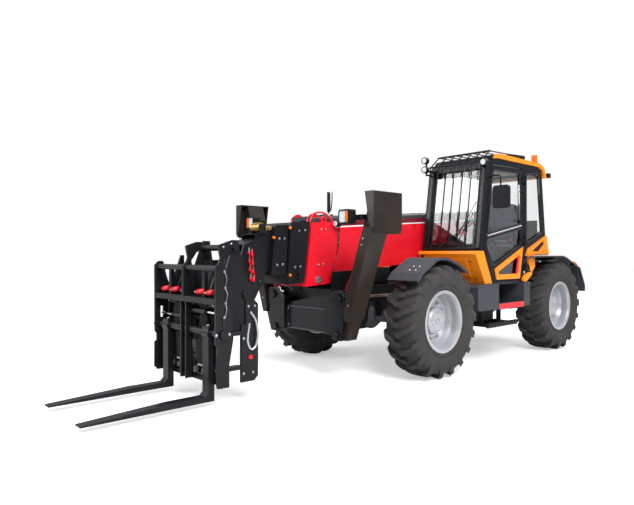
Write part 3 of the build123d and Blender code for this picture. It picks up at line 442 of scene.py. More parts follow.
def tyre_look():
    """Carcass with bead, guard ring and bulged wall, and kinked lugs that run down the shoulder."""
    wall = [(0.15, 0.334), (0.172, 0.34), (0.18, 0.352), (0.18, 0.366), (0.174, 0.374), (0.184, 0.392),
        (0.19, 0.398), (0.193, 0.414), (0.1965, 0.44), (0.1965, 0.47), (0.193, 0.498), (0.186, 0.52),
        (0.17, 0.54), (0.13, 0.552), (0.06, 0.557)]
    profile = wall + [(-x, r) for x, r in reversed(wall)] + wall[:1]
    shapes = [turned(profile, (0, 0, 0), LEFT, 96)]
    # each lug: distance from the centre plane, offset round the tread, half width, outer and inner radius
    sections = [(-0.016, -0.004, 0.024, 0.6, 0.545), (0.042, 0.0, 0.025, 0.6, 0.543),
        (0.082, 0.034, 0.024, 0.5995, 0.538), (0.138, 0.052, 0.029, 0.596, 0.528),
        (0.172, 0.084, 0.033, 0.586, 0.51), (0.19, 0.098, 0.035, 0.563, 0.496),
        (0.1985, 0.106, 0.036, 0.53, 0.49), (0.1985, 0.11, 0.03, 0.505, 0.48)]
    draft = 0.008
    for side in (1, -1):
        verts, faces = [], []
        for x, s, half, top, base in sections:
            for offset, r in ((-half - draft, base), (-half, top), (half, top), (half + draft, base)):
                a = (s + offset) / TYRE_R
                verts.append((side * x, r * sin(a), r * cos(a)))
        for i in range(len(sections) - 1):
            for k in range(3):
                faces.append((4 * i + k, 4 * i + k + 1, 4 * i + 5 + k, 4 * i + 4 + k))
        faces.append((0, 1, 2, 3))
        faces.append(tuple(range(len(verts) - 4, len(verts))))
        start = 0.0 if side == 1 else pi / LUGS
        for i in range(LUGS):
            shapes.append(moved((verts, faces), Matrix.Rotation(start + 2 * pi * i / LUGS, 4, "X")))
    return shapes


def wheel_trim():
    """Wheel nuts round the disc, bolts and a plug on the planetary hub, and the valve."""
    shapes = []
    disc_x, disc_r, hub_x, hub_r = -0.004, 0.205, 0.0795, 0.1
    for i in range(NUTS):
        a = 2 * pi * i / NUTS
        shapes.append(bolt((disc_x, disc_r * sin(a), disc_r * cos(a)), LEFT, 0.014, 0.02))
        a += 0.2
        shapes.append(bolt((hub_x, hub_r * sin(a), hub_r * cos(a)), LEFT, 0.0075, 0.008))
    shapes.append(cap((hub_x, 0, 0), LEFT, 0.034, 0.008, 0.012, 0.026, 6))
    shapes.append(rod((0.02, 0.0, 0.268), (0.075, 0.0, 0.276), 0.005, 10))
    return shapes


def wheels():
    """A tyre that replaces the CAD one, and the wheel's bolts, at each corner."""
    tyre_shape, trim_shape = tyre_look(), wheel_trim()
    for corner, side, y in CORNERS:
        turn = Matrix.Rotation(0.0 if side == 1 else pi, 4, "Z")
        place = Matrix.Translation((side * WHEEL_X, y, TYRE_R)) @ turn
        tyre = build("tyre_look_" + corner, moved(tyre_shape, place), "wheel_" + corner, "rubber", 0.004, 28)
        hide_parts("tyre_" + corner)
        build("wheel_bolts_" + corner, moved(trim_shape, place), "wheel_" + corner, "silver", 0.0008)


# ---- boom ---------------------------------------------------------------------------
# the boom's own frame: pivot pin, and slope
BOOM = Matrix.Translation((0, 2.95, 1.625)) @ Matrix.Rotation(radians(3.8), 4, "X")
SKIN_X = 0.2


def on_boom(name, shape, body, material, bevel=0.0):
    build(name, moved(shape, BOOM), body, material, bevel)


def boom_trim():
    """Bands on the outer section's flanks, the dark red one painted shade of the top chamfer; collar bolts,
    wear-pad adjusters and cover fittings.
    """
    front, back = -3.62, 0.1
    # dark red band: painted shade of the top chamfer, above a white stripe
    for name, z, finish in (("dark", (0.2285, 0.2775), "shaded_red"), ("white", (0.2145, 0.2285), "white")):
        on_boom("boom_band_" + name, both(box((SKIN_X, SKIN_X + 0.0012), (front, back), z)), "boom", finish)
    for body, x, places in (("boom", 0.212, ((-3.78, 0.2), (-3.85, 0.2), (-3.84, -0.17), (-3.91, -0.17))),
            ("boom_section_2", 0.208, ((-4.07, 0.2), (-4.15, 0.2), (-4.16, -0.17), (-4.23, -0.17))),
            ("boom_section_3", 0.19, ((-4.335, 0.13), (-4.4, 0.13), (-4.375, -0.13), (-4.445, -0.13)))):
        on_boom("collar_bolts_" + body, both([bolt((x, y, z), LEFT, 0.009, 0.009) for y, z in places]), body,
            "steel", 0.0008)
    for body, x, places in (("boom_section_2", 0.208, ((-4.275, 0.235), (-4.305, -0.245))),
            ("boom_section_3", 0.19, ((-4.475, 0.145), ))):
        on_boom("pad_adjusters_" + body, both([cap((x, y, z), LEFT, 0.016, 0.012, 0.018, 0.01, 24)
            for y, z in places]), body, "amber", 0.001)
    # ribs pressed into the top cover, and its fixing screws
    ribs = [box((-0.1, 0.1), (y, y + 0.045), (0.347, 0.352)) for y in (-3.8 + 0.42 * i for i in range(9))]
    screws = [bolt((s * 0.135, -3.7 + 0.55 * i, 0.344), UP, 0.008, 0.006) for s in (-1, 1) for i in range(7)]
    on_boom("cover_ribs", ribs, "boom", "slate", 0.004)
    on_boom("cover_screws", screws, "boom", "steel")
    # weld seam along the flank's lower edge
    on_boom("boom_seams", both(pipe([(SKIN_X + 0.001, front, -0.262), (SKIN_X + 0.001, back, -0.262)], 0.0035,
        8, 1)), "boom", "red")


def boom_fittings():
    """Work lamp, clamped cable, lifting ring and sensor on the outer collar; pivot caps at the rear."""
    shapes = [turned([(0, 0.03), (0.012, 0.033), (0.06, 0.033), (0.066, 0.03)], (0.262, -3.62, 0.255), FRONT,
        28), box((0.21, 0.262), (-3.63, -3.6), (0.22, 0.245)),
        box((0.235, 0.262), (-3.63, -3.6), (0.22, 0.262))]
    on_boom("boom_work_lamp", shapes, "boom", "trim", 0.002)
    on_boom("boom_work_lamp_lens", turned([(0, 0.029), (0.004, 0.026), (0.006, 0.0)], (0.262, -3.686, 0.255),
        FRONT, 28), "boom", "clear")
    on_boom("boom_lifting_eye", both(hoop((0.198, -3.8, 0.3), LEFT, 0.02, 0.04, 0.012, 28)), "boom", "red",
        0.002)
    arch = [(0.0, 0.0), (0.0, 0.055), (-0.03, 0.088), (-0.08, 0.105), (-0.13, 0.095), (-0.17, 0.06),
        (-0.19, 0.0)]
    on_boom("boom_hose_arch", both(prism([(y - 3.79, z + 0.275) for y, z in rounded(arch, 0.03)], "x", 0.12,
        0.138)), "boom", "red", 0.002)
    on_boom("boom_hose_rail", pipe([(0.196, -3.66, 0.278), (0.188, -3.7, 0.335), (0.175, -3.76, 0.375),
        (0.165, -3.84, 0.385), (0.16, -3.91, 0.36), (0.16, -3.96, 0.285)], 0.01, 12), "boom", "red")
    on_boom("boom_feed_hoses", [pipe([(x, -3.55, 0.352), (x, -3.66, 0.356), (x, -3.78, 0.34), (x, -3.93, 0.31),
        (x, -3.985, 0.292)], 0.011) for x in (0.03, 0.06, 0.09)], "boom", "hose")
    on_boom("boom_feed_nuts", [disc((x, -3.6, 0.354), FRONT, 0.015, 0.03, 6) for x in (0.03, 0.06, 0.09)],
        "boom", "steel", 0.0006)
    at = (0.212, -3.93, -0.325)
    on_boom("boom_sensor", both([turned([(0, 0.04), (0.01, 0.04), (0.022, 0.034), (0.022, 0.022),
        (0.012, 0.018)], at, LEFT, 32), disc(at, LEFT, 0.012, 0.03, 16)]), "boom", "steel", 0.001)
    on_boom("boom_cable", pipe([(0.222, -3.6, 0.235), (0.219, -3.585, 0.2), (0.207, -3.59, 0.1),
        (0.207, -3.602, 0.0), (0.207, -3.66, -0.15), (0.216, -3.7, -0.24), (0.219, -3.72, -0.285)], 0.006),
        "boom", "hose")
    on_boom("boom_cable_clips", [box((0.206, 0.216), (y - 0.012, y + 0.012), (z - 0.006, z + 0.006))
        for y, z in ((-3.588, 0.15), (-3.596, 0.05), (-3.645, -0.12))], "boom", "steel", 0.001)
    caps = [cap((0.2805, 0, 0), LEFT, 0.078, 0.006, 0.01, 0.07, 36)]
    caps += [bolt((0.2885, 0.055 * sin(a), 0.055 * cos(a)), LEFT, 0.008, 0.007) for a in (0.4, 2.5, 4.6)]
    on_boom("boom_pivot_caps", both(caps), "chassis", "trim", 0.001)


HEAD = "boom_section_4"


def hose_bundle():
    """Hoses that leave the last section through brass guide rings and run down to the couplers."""
    rings, hoses = [], []
    at = (0.128, -4.47, 0.245)
    on_boom("hose_plug", [hoop(at, (1, -0.3, 0), 0.016, 0.024, 0.006, 24),
        cap(at, (1, -0.3, 0), 0.008, 0.006, 0.01, 0.004, 16)], HEAD, "brass", 0.001)
    on_boom("nose_hoses", [pipe([(x, -4.464, 0.194), (x, -4.465, 0.216), (x, -4.49, 0.222)], 0.01)
        for x in (0.046 + 0.032 * i for i in range(3))], HEAD, "hose")
    for x in (0.03, 0.062, 0.094):
        for y in (-4.46, -4.5, -4.535):
            rings.append(hoop((x, y, 0.232), (0, -1, 0.25), 0.021, 0.028, 0.006, 24))
        hoses.append(pipe([(x, -4.466, 0.196), (x, -4.47, 0.222), (x, -4.5, 0.232), (x + 0.01, -4.58, 0.215)],
            0.013))
    on_boom("hose_rings", rings, HEAD, "brass", 0.001)
    on_boom("head_hoses", hoses, HEAD, "hose")
    # guide roller with the hoses' coil in front of it
    on_boom("hose_coil", [hoop((0.035 + 0.012 * i, -4.59 + 0.004 * i, 0.252), (1, 0.15, 0), 0.04, 0.05, 0.004,
        28) for i in range(8)], HEAD, "brass", 0.001)
    on_boom("hose_roller", [rod((0.018, -4.59, 0.252), (0.14, -4.575, 0.252), 0.034, 28),
        box((0.012, 0.022), (-4.615, -4.545), (0.19, 0.285)),
        box((0.136, 0.146), (-4.6, -4.53), (0.19, 0.285))], HEAD, "trim", 0.002)
    on_boom("hose_saddle", [box((0.006, 0.118), (-4.53, -4.47), (0.1925, 0.204)),
        box((0.006, 0.014), (-4.53, -4.47), (0.2, 0.25)), box((0.11, 0.118), (-4.53, -4.47), (0.2, 0.25))],
        HEAD, "trim", 0.002)


# outer face of the head's cheek
CHEEK_X = 0.1455


def head_couplers():
    """Quick couplers with red sleeves and dust caps, clamped to the head's cheek in two rows."""
    steel, red = [], []
    for row, y in enumerate((-1.8, -1.765)):
        for i in range(4):
            z = 1.345 - 0.082 * i - 0.02 * row
            y_i = y + 0.006 * i
            steel.append(turned([(0, 0.01), (0.018, 0.01), (0.02, 0.014), (0.046, 0.014), (0.048, 0.011),
                (0.06, 0.011)], (CHEEK_X + 0.018, y_i, z + 0.028), (0.05, -0.1, -1), 20))
            red.append(cap((CHEEK_X + 0.02, y_i - 0.002, z - 0.012), (0.05, -0.1, -1), 0.0155, 0.02, 0.024,
                0.012, 20))
        red.append(pipe([(CHEEK_X + 0.018, y, 1.36), (CHEEK_X + 0.04, y - 0.01, 1.3), (CHEEK_X + 0.034, y, 1.2),
            (CHEEK_X + 0.04, y + 0.014, 1.1), (CHEEK_X + 0.02, y + 0.02, 1.045)], 0.005))
    build("coupler_bodies", steel, HEAD, "steel", 0.0006)
    build("coupler_sleeves", red, HEAD, "red", 0.0006)
    build("coupler_plate", box((CHEEK_X, CHEEK_X + 0.008), (-1.835, -1.725), (1.05, 1.4)), HEAD, "black", 0.003)
    rim = rounded([(-1.7, 1.412), (-1.575, 1.435), (-1.6, 1.15), (-1.72, 0.905), (-1.86, 0.93), (-1.875, 1.02),
        (-1.8, 1.3)], 0.03)
    build("head_weld_line", both(pipe([(CHEEK_X + 0.002, y, z) for y, z in rim + rim[:1]], 0.004, 8, 1)), HEAD,
        "black")
    pins = [cap((0.27, -1.907, 0.929), LEFT, 0.04, 0.006, 0.012, 0.034, 32)]
    pins += [cap((CHEEK_X, -1.64, 1.03), LEFT, 0.032, 0.006, 0.01, 0.026, 32)]
    build("head_pin_caps", both(pins), HEAD, "black", 0.001)


# ---- stabilisers --------------------------------------------------------------------
def stabiliser_trim(side):
    """Pins, hoses, foot cap and head lamp of one stabiliser."""
    arm = "stabiliser_" + side
    # pins of the arm and of the cylinder, with their keeper plates, on the front cheek
    pins = [cap((0.495, -0.979, 0.486), FRONT, 0.04, 0.006, 0.012, 0.036, 32),
        cap((0.536, -0.979, 0.85), FRONT, 0.046, 0.006, 0.012, 0.041, 32)]
    for x, z, dx in ((0.495, 0.486, 0.055), (0.536, 0.85, -0.058)):
        pins.append(box((x + min(0, dx), x + max(0, dx)), (-0.982, -0.9655), (z - 0.016, z + 0.016)))
        pins.append(bolt((x + dx * 0.8, -0.982, z), FRONT, 0.008, 0.007))
    build_side(side, "stabiliser_pins", pins, "chassis", "black", 0.0015)
    edge = [(0.338, 0.832), (0.36, 0.832), (0.47, 0.925), (0.59, 0.925), (0.622, 0.88)]
    build_side(side, "cheek_edge", [pipe([(x, -0.9665, z) for x, z in edge], 0.004, 8, 1)], "chassis", "slate")
    # pale top plate of the foot, and the arm's screws and pin cap
    build_side(side, "foot_cap", box((1.008, 1.1225), (-1.088, -0.672), (1.8955, 1.9)), arm, "grey", 0.001)
    build_side(side, "arm_screws", [bolt((x, -0.9905, z), FRONT, 0.007, 0.006)
        for x, z in ((0.9, 1.46), (0.88, 1.4), (0.7, 0.8))], arm, "steel")
    build_side(side, "arm_pin_cap", cap((0.96, -0.9905, 1.6), FRONT, 0.026, 0.008, 0.012, 0.02, 28), arm,
        "black", 0.001)
    # feed hoses along the arm's open side
    build_side(side, "arm_hoses", [pipe([(0.64 + d, -0.955, 0.72), (0.67 + d, -0.972, 0.86),
        (0.735 + d, -0.972, 1.05), (0.8 + d, -0.972, 1.27), (0.868 + d, -0.968, 1.47),
        (0.905 + d, -0.93, 1.55)], 0.009) for d in (-0.006, 0.018)], arm, "hose")
    # head lamp: bezel, clear reflector half inboard and amber half outboard
    rim = rounded(rect((0.706, 0.844), (1.608, 1.736)), 0.024)
    hole = rounded(rect((0.714, 0.836), (1.616, 1.728)), 0.018)
    n = len(rim)
    verts = [(x, y, z) for line, y in ((rim, -1.125), (rim, -1.133), (hole, -1.133), (hole, -1.121))
        for x, z in line]
    build_side(side, "headlamp_bezel", (verts,
        [(k * n + i, k * n + (i + 1) % n, (k + 1) * n + (i + 1) % n, (k + 1) * n + i) for k in range(3)
        for i in range(n)]), arm, "trim")
    build_side(side, "headlamp_bowl", turned([(0, 0.046), (-0.004, 0.042), (-0.01, 0.02), (-0.004, 0.014),
        (0.002, 0.0)], (0.752, -1.127, 1.672), FRONT, 32), arm, "chrome")
    build_side(side, "headlamp_lens", box((0.7145, 0.79), (-1.1275, -1.1255), (1.6165, 1.7275)), arm, "clear",
        0.001)
    build_side(side, "headlamp_amber", box((0.793, 0.8355), (-1.13, -1.1255), (1.6165, 1.7275)), arm, "amber",
        0.003)


def chassis_trim():
    """Side skirts beside the boom, the front deck's hoses, and pipes along the rails."""
    on_chassis("boom_skirts", both(prism(rounded([(-0.8, 0.9), (-0.8, 1.12), (-0.2, 1.135), (-0.2, 0.86)],
        0.02), "x", 0.262, 0.268)), "black", 0.002)
    hoses = []
    for i in range(4):
        y = -0.72 + 0.022 * i
        hoses.append(pipe([(0.24, y + 0.2, 0.72), (0.1, y, 0.775), (-0.08, y - 0.01, 0.78),
            (-0.22, y + 0.02, 0.77), (-0.3, y + 0.1, 0.7)], 0.01))
    on_chassis("deck_hoses", hoses, "hose")
    on_chassis("rail_pipes", both([pipe([(0.266, -0.2, z), (0.27, 0.4, z), (0.27, 0.7, z + 0.02)], 0.007, 8)
        for z in (0.82, 0.84)]), "steel")


# ---- fork carriage ------------------------------------------------------------------
SHAFT_Y, SHAFT_Z = -2.35, 0.63


def on_carriage(name, shape, material, bevel=0.0):
    build(name, shape, "carriage", material, bevel)


def carriage_sides():
    """Shaft ends, caps and bolts of the hitch, and the hose on the left plate."""
    on_carriage("shaft_ends", both(cap((0.59, SHAFT_Y, SHAFT_Z), LEFT, 0.037, 0.006, 0.01, 0.032, 32)), "black",
        0.0015)
    on_carriage("shaft_bolts", both([bolt((0.565, SHAFT_Y + dy, SHAFT_Z), LEFT, 0.009, 0.008)
        for dy in (0.064, -0.064)]), "steel")
    caps = [cap((0.262, -2.09, 0.64), LEFT, 0.04, 0.008, 0.013, 0.035, 32)]
    caps += [disc((0.318, -2.06, 1.37), LEFT, 0.03, 0.006, 28)]
    caps += [bolt((0.262, y, z), LEFT, 0.011, 0.009) for y, z in ((-2.045, 1.415), (-2.008, 1.415))]
    on_carriage("hitch_caps", both(caps), "black", 0.001)
    on_carriage("hook_bolts", both([cap((0.3055, y, z), LEFT, 0.01, 0.005, 0.007, 0.007, 18)
        for y, z in ((-2.18, 1.372), (-2.095, 1.402))]), "steel")
    # side-shift hose that hangs on the left plate, clipped along its length
    hose = [(0.572, -2.335, 1.165), (0.574, -2.318, 1.1), (0.574, -2.33, 1.03), (0.574, -2.312, 0.97),
        (0.574, -2.326, 0.9), (0.573, -2.318, 0.84), (0.572, -2.335, 0.78)]
    on_carriage("side_hose", pipe(hose, 0.005), "steel")
    on_carriage("side_hose_clips", [disc((0.5655, y, z), LEFT, 0.012, 0.006, 16) for _, y, z in hose[::2]],
        "steel", 0.0006)


def carriage_hydraulics():
    """Fork positioner cylinders, manifolds with hoses behind the uprights, and red-sleeved couplers."""
    tubes, rods = [], []
    for z, s in ((0.805, 1), (0.735, -1)):
        tubes.append(rod((s * 0.02, -2.345, z), (s * 0.3, -2.345, z), 0.026, 24))
        tubes.append(rod((s * 0.285, -2.345, z), (s * 0.305, -2.345, z), 0.031, 24))
        rods.append(rod((s * 0.305, -2.345, z), (s * 0.535, -2.345, z), 0.013, 20))
    on_carriage("positioner_tubes", tubes, "black", 0.002)
    on_carriage("positioner_rods", rods, "chrome")
    on_carriage("manifolds", [box((0.1, 0.21), (-2.3, -2.235), (0.66, 0.74)),
        box((-0.2, -0.11), (-2.3, -2.235), (0.4, 0.49))], "iron", 0.004)
    hoses = []
    for i, x in enumerate((0.115, 0.14, 0.165, 0.19)):
        hoses.append(pipe([(x, -2.268, 0.74), (x, -2.27, 0.86), (x - 0.02, -2.262, 0.98),
            (x - 0.05, -2.23, 1.08), (x - 0.06, -2.17, 1.16)], 0.009))
        hoses.append(pipe([(x, -2.268, 0.66), (x - 0.03, -2.275, 0.56), (x - 0.15, -2.275, 0.5),
            (-0.13 - 0.02 * i, -2.27, 0.485)], 0.008))
    on_carriage("carriage_hoses", hoses, "hose")
    on_carriage("carriage_hose_nuts", [disc((x, -2.268, z), (0, 0, d), 0.012, 0.022, 6)
        for x in (0.115, 0.14, 0.165, 0.19) for z, d in ((0.74, 1), (0.66, -1))], "steel", 0.0006)
    red, dark = [], []
    for x0, x1 in ((-0.49, -0.36), (-0.3, -0.17), (-0.09, -0.02), (0.16, 0.3), (0.33, 0.44)):
        red.append(turned([(0, 0.02), (0.02, 0.026), (x1 - x0 - 0.02, 0.026), (x1 - x0, 0.018)],
            (x0, -2.362, 0.972), (1, 0, 0.12), 24))
        dark.append(disc((x0 - 0.028, -2.362, 0.97), (1, 0, 0.05), 0.014, 0.03, 20))
    on_carriage("red_couplers", red, "red", 0.003)
    on_carriage("coupler_nipples", dark, "steel", 0.001)


def carriage_plates():
    """Channels, plates, blocks and hose loops between the uprights, guard and fork fittings."""
    dark = [box((x, x + 0.014), (-2.3, -2.262), (0.235, 0.56)) for x in (-0.4, -0.3, 0.3, 0.4)]
    dark += [box((-0.4, 0.4), (-2.3, -2.288), (0.23, 0.33)),
        box((-0.26, 0.26), (-2.285, -2.262), (0.44, 0.555)),
        box((-0.245, -0.195), (-2.325, -2.29), (0.34, 0.55)), box((0.13, 0.19), (-2.325, -2.29), (0.34, 0.53)),
        box((-0.42, 0.42), (-2.33, -2.3), (0.845, 0.883)), box((0.26, 0.34), (-2.315, -2.288), (0.66, 0.86)),
        box((-0.33, -0.25), (-2.315, -2.288), (0.64, 0.84)), box((-0.2, -0.1), (-2.315, -2.288), (0.68, 0.845))]
    on_carriage("carriage_plates", dark, "black", 0.003)
    iron = [rod((x, -2.335, 0.255), (x, -2.335, 0.3), 0.026, 20) for x in (-0.34, -0.2, 0.1, 0.24, 0.36)]
    iron += [rod((-0.15, -2.318, 0.44), (0.2, -2.318, 0.44), 0.02, 20),
        rod((-0.22, -2.318, 0.385), (0.06, -2.318, 0.385), 0.016, 20),
        box((0.035, 0.095), (-2.345, -2.3), (0.455, 0.54)), box((-0.155, -0.095), (-2.345, -2.3), (0.33, 0.4))]
    on_carriage("carriage_blocks", iron, "iron", 0.003)
    loops = []
    for i in range(5):
        for x, bends in ((-0.285 + 0.028 * i, ((0, -2.33, 0.86), (-0.01, -2.345, 0.74), (0.015, -2.335, 0.6),
                (0.06, -2.345, 0.46), (0.05, -2.338, 0.34))),
                (0.175 + 0.026 * i, ((0, -2.33, 0.86), (0.012, -2.34, 0.72), (-0.02, -2.334, 0.58),
                (-0.05, -2.342, 0.44), (-0.03, -2.336, 0.33)))):
            loops.append(pipe([(x + dx, y, z) for dx, y, z in bends], 0.0085))
    on_carriage("carriage_loops", loops, "hose")
    bright = [disc((x + step * i, y, z), DOWN, 0.011, 0.016, 6)
        for x, step, y, z in ((-0.235, 0.028, -2.338, 0.34), (0.145, 0.026, -2.336, 0.33)) for i in range(5)]
    bright += [bolt((x, -2.3, 0.28), FRONT, 0.01, 0.008) for x in (-0.37, -0.12, 0.02, 0.17, 0.37)]
    bright += [bolt((x, -2.3405, 0.865), FRONT, 0.008, 0.007) for x in (-0.4, -0.05, 0.05, 0.4)]
    on_carriage("carriage_fittings", bright, "steel", 0.0006)
    # spiral-wrapped hose loop and red plug by the rear guard plate
    on_carriage("guard_hose", pipe([(0.512, -2.03, 0.8), (0.53, -1.985, 0.72), (0.535, -1.965, 0.6),
        (0.53, -1.985, 0.5), (0.52, -2.03, 0.47), (0.512, -2.06, 0.55), (0.512, -2.04, 0.7)], 0.01), "silver")
    on_carriage("guard_plug", cap((0.51, -2.03, 0.4), LEFT, 0.02, 0.01, 0.014, 0.012, 24), "red")
    on_carriage("guard_screws", both([bolt((0.51, y, z), LEFT, 0.008, 0.006)
        for y, z in ((-2.1, 0.26), (-2.0, 0.26), (-2.1, 0.57), (-2.05, 0.85), (-1.98, 0.85))]), "steel")
    # bolted stop plates
    plates = [prism(rounded(rect((-2.418, -2.305), (0.2, 0.46)), 0.014), "x", 0.565, 0.57)]
    plates += [bolt((0.57, y, z), LEFT, 0.008, 0.006)
        for y, z in ((-2.385, 0.42), (-2.34, 0.42), (-2.385, 0.24))]
    on_carriage("frame_side_plates", both(plates), "black", 0.002)
    # heel clips on the forks
    for side, s in SIDES:
        on_carriage("fork_clip_" + side, [box((s * 0.366 - 0.052, s * 0.366 + 0.052), (-2.404, -2.338),
            (0.64, 0.652)), bolt((s * 0.366, -2.372, 0.692), UP, 0.012, 0.01)], "steel", 0.001)


# ---- cab ------------------------------------------------------------------------------
DOOR_FACE = 1.05
UPPER_LIGHT = [(0.985, 1.545), (1.098, 2.268), (1.135, 2.318), (1.772, 2.338), (1.784, 1.69)]
LOWER_LIGHT = [(0.96, 1.395), (0.975, 1.49), (1.786, 1.635), (1.792, 1.43), (1.13, 1.165), (1.105, 1.15)]
WEDGE = [(1.14, 1.13), (1.828, 1.4), (1.74, 1.0), (1.185, 1.0)]
REAR_LIGHT = [(1.925, 1.44), (1.925, 2.35), (2.215, 2.37), (2.29, 2.33), (2.385, 1.6)]
RIGHT_LIGHT = [(0.96, 1.44), (1.09, 2.33), (1.16, 2.37), (2.215, 2.37), (2.29, 2.33), (2.385, 1.6), (2.3, 1.44)]


def inset(points, by):
    """Convex outline with every side moved inwards."""
    n = len(points)
    turn = 1 if area_of(points) > 0 else -1
    lines = []
    for i in range(n):
        p, q = Vector(points[i]), Vector(points[(i + 1) % n])
        along = (q - p).normalized()
        normal = turn * Vector((-along.y, along.x))
        lines.append((p + normal * by, along))
    out = []
    for i in range(n):
        (p, u), (q, v) = lines[i - 1], lines[i]
        cross = u.x * v.y - u.y * v.x
        t = ((q.x - p.x) * v.y - (q.y - p.y) * v.x) / cross
        out.append(tuple(p + u * t))
    return out


def seal(points, x, r=0.007):
    """Rubber section round a window, in a plane across the machine."""
    loop = rounded(points, 0.035)
    return pipe([(x, y, z) for y, z in loop + loop[:1]], r, 8, 1)


def door_trim():
    """Window seals, and the door's highlight bar, speaker, lining, latch and accent."""
    hole = inset(WEDGE, 0.062)
    build("door_seals", [seal(inset(UPPER_LIGHT, 0.004), DOOR_FACE),
        seal(inset(LOWER_LIGHT[:5], 0.004), DOOR_FACE), seal(hole, DOOR_FACE + 0.002, 0.004)], "cab_door",
        "hose")
    fixed = [seal(inset(REAR_LIGHT, 0.004), DOOR_FACE), flipped(seal(inset(RIGHT_LIGHT, 0.004), -0.24))]
    # windscreen and rear window, each from its lower to its upper edge
    for (y, z), (y1, z1) in (((0.842, 1.418), (0.972, 2.322)), ((2.438, 1.608), (2.342, 2.362))):
        edge = [(0.305, y, z), (0.985, y, z), (0.985, y1, z1), (0.305, y1, z1)]
        fixed.append(pipe(edge + edge[:1], 0.008, 8, 1))
    on_chassis("cab_seals", fixed, "hose")
    # steel bar along the foot of the door's upper light; its bright steel stands for the painted highlight on the
    # band between the lights
    build("door_bar_highlight", pipe([(DOOR_FACE + 0.0015, 0.985, 1.522), (DOOR_FACE + 0.0015, 1.79, 1.668)], 0.011, 12,
        1), "cab_door", "steel")
    speaker = (1.022, 1.118, 1.372)
    build("speaker_ring", turned([(0, 0.05), (0, 0.062), (-0.01, 0.062), (-0.01, 0.05), (0, 0.05)], speaker,
        LEFT, 40), "cab_door", "grey", 0.001)
    build("speaker_cone", turned([(-0.012, 0.052), (-0.006, 0.05), (-0.01, 0.02), (-0.004, 0.014),
        (-0.002, 0.0)], speaker, LEFT, 40), "cab_door", "trim")
    build("door_liner", prism(rounded(inset([(0.985, 1.405), (0.99, 1.47), (1.77, 1.61), (1.775, 1.44),
        (1.14, 1.19)], 0.02), 0.03), "x", 1.0, 1.01), "cab_door", "trim", 0.003)
    build("door_pocket", [box((1.008, 1.016), (1.25, 1.62), (1.4, 1.428)),
        box((1.008, 1.018), (1.2, 1.5), (1.455, 1.48))], "cab_door", "slate", 0.004)
    build("door_release", cap((1.01, 1.592, 1.484), LEFT, 0.013, 0.006, 0.01, 0.008, 24), "cab_door", "red")
    build("door_latch", [box((1.05, 1.066), (1.745, 1.8), (1.712, 1.752)),
        box((1.06, 1.074), (1.7, 1.79), (1.724, 1.74))], "cab_door", "trim", 0.003)
    build("hinge_bolts", [bolt((1.0645, y, z + dz), LEFT, 0.008, 0.007) for z in (1.48, 2.25)
        for dz in (-0.018, 0.018) for y in (1.795, 1.815)], "cab_door", "trim")
    # red accent along the rear edge of the wedge's window
    a, b = hole[1], hole[2]
    build("door_accent", prism([a, b, (b[0] - 0.045, b[1]), (a[0] - 0.045, a[1] - 0.018)], "x",
        DOOR_FACE + 0.0015, 1.0635), "cab_door", "red", 0.001)


def wiper():
    """Arm and blade on the windscreen."""
    lean = (0.975 - 0.83) / (2.365 - 1.353)

    def glass_y(z, off=0.012):
        return 0.843 + (z - 1.41) * lean - off
    arm = [pipe([(0.585, glass_y(1.43), 1.43), (0.76, glass_y(1.6, 0.016), 1.6), (0.93, glass_y(1.72), 1.72)],
        0.006, 8, 1), box((0.56, 0.61), (0.805, 0.835), (1.395, 1.44))]
    on_chassis("wiper", arm + [pipe([(0.7, glass_y(1.4, 0.008), 1.455), (0.955, glass_y(1.92, 0.008), 1.93)],
        0.005, 8, 1)], "trim")


def cab_inside():
    """Linings, console, dashboard with switches, joystick and pedals."""
    lining = [box((0.292, 0.998), (1.62, 2.24), (2.392, 2.402)),
        box((0.292, 0.345), (1.06, 1.62), (2.392, 2.402)), box((0.945, 0.998), (1.06, 1.62), (2.392, 2.402)),
        box((0.345, 0.945), (1.06, 1.19), (2.392, 2.402))]
    on_chassis("headlining", lining, "lining", 0.003)
    on_chassis("rear_lining", [box((0.3, 0.99), (2.33, 2.345), (1.44, 1.76)),
        box((0.283, 0.292), (1.9, 2.3), (1.445, 1.73))], "trim", 0.006)
    on_chassis("overhead_console", [box((0.3, 0.99), (1.02, 1.06), (2.26, 2.39)),
        box((0.45, 0.84), (1.06, 1.1), (2.28, 2.38))], "trim", 0.01)
    on_chassis("dashboard", prism(rounded([(0.93, 1.0), (1.02, 1.0), (1.12, 1.3), (1.14, 1.42), (1.02, 1.46),
        (0.93, 1.38)], 0.04), "x", 0.3, 0.985), "trim", 0.006)
    keys = [box((0.42 + 0.06 * i, 0.46 + 0.06 * i), (1.04, 1.075), (1.458, 1.466)) for i in range(7)]
    keys += [prism(rounded([(1.03, 1.462), (1.09, 1.448), (1.1, 1.52), (1.05, 1.535)], 0.01), "x", 0.6, 0.76)]
    on_chassis("dash_switches", keys, "slate", 0.002)
    on_chassis("joystick", [pipe([(0.345, 1.42, 1.535), (0.348, 1.42, 1.62), (0.35, 1.4, 1.7)], 0.008, 10, 3),
        turned([(0, 0.016), (0.05, 0.024), (0.09, 0.02), (0.1, 0.01)], (0.35, 1.4, 1.69), (0, -0.1, 1), 20)],
        "trim")
    pedals = [box((x, x + 0.07), (1.135, 1.15), (1.05, 1.14)) for x in (0.5, 0.6, 0.8)]
    on_chassis("pedals", pedals, "iron", 0.004)


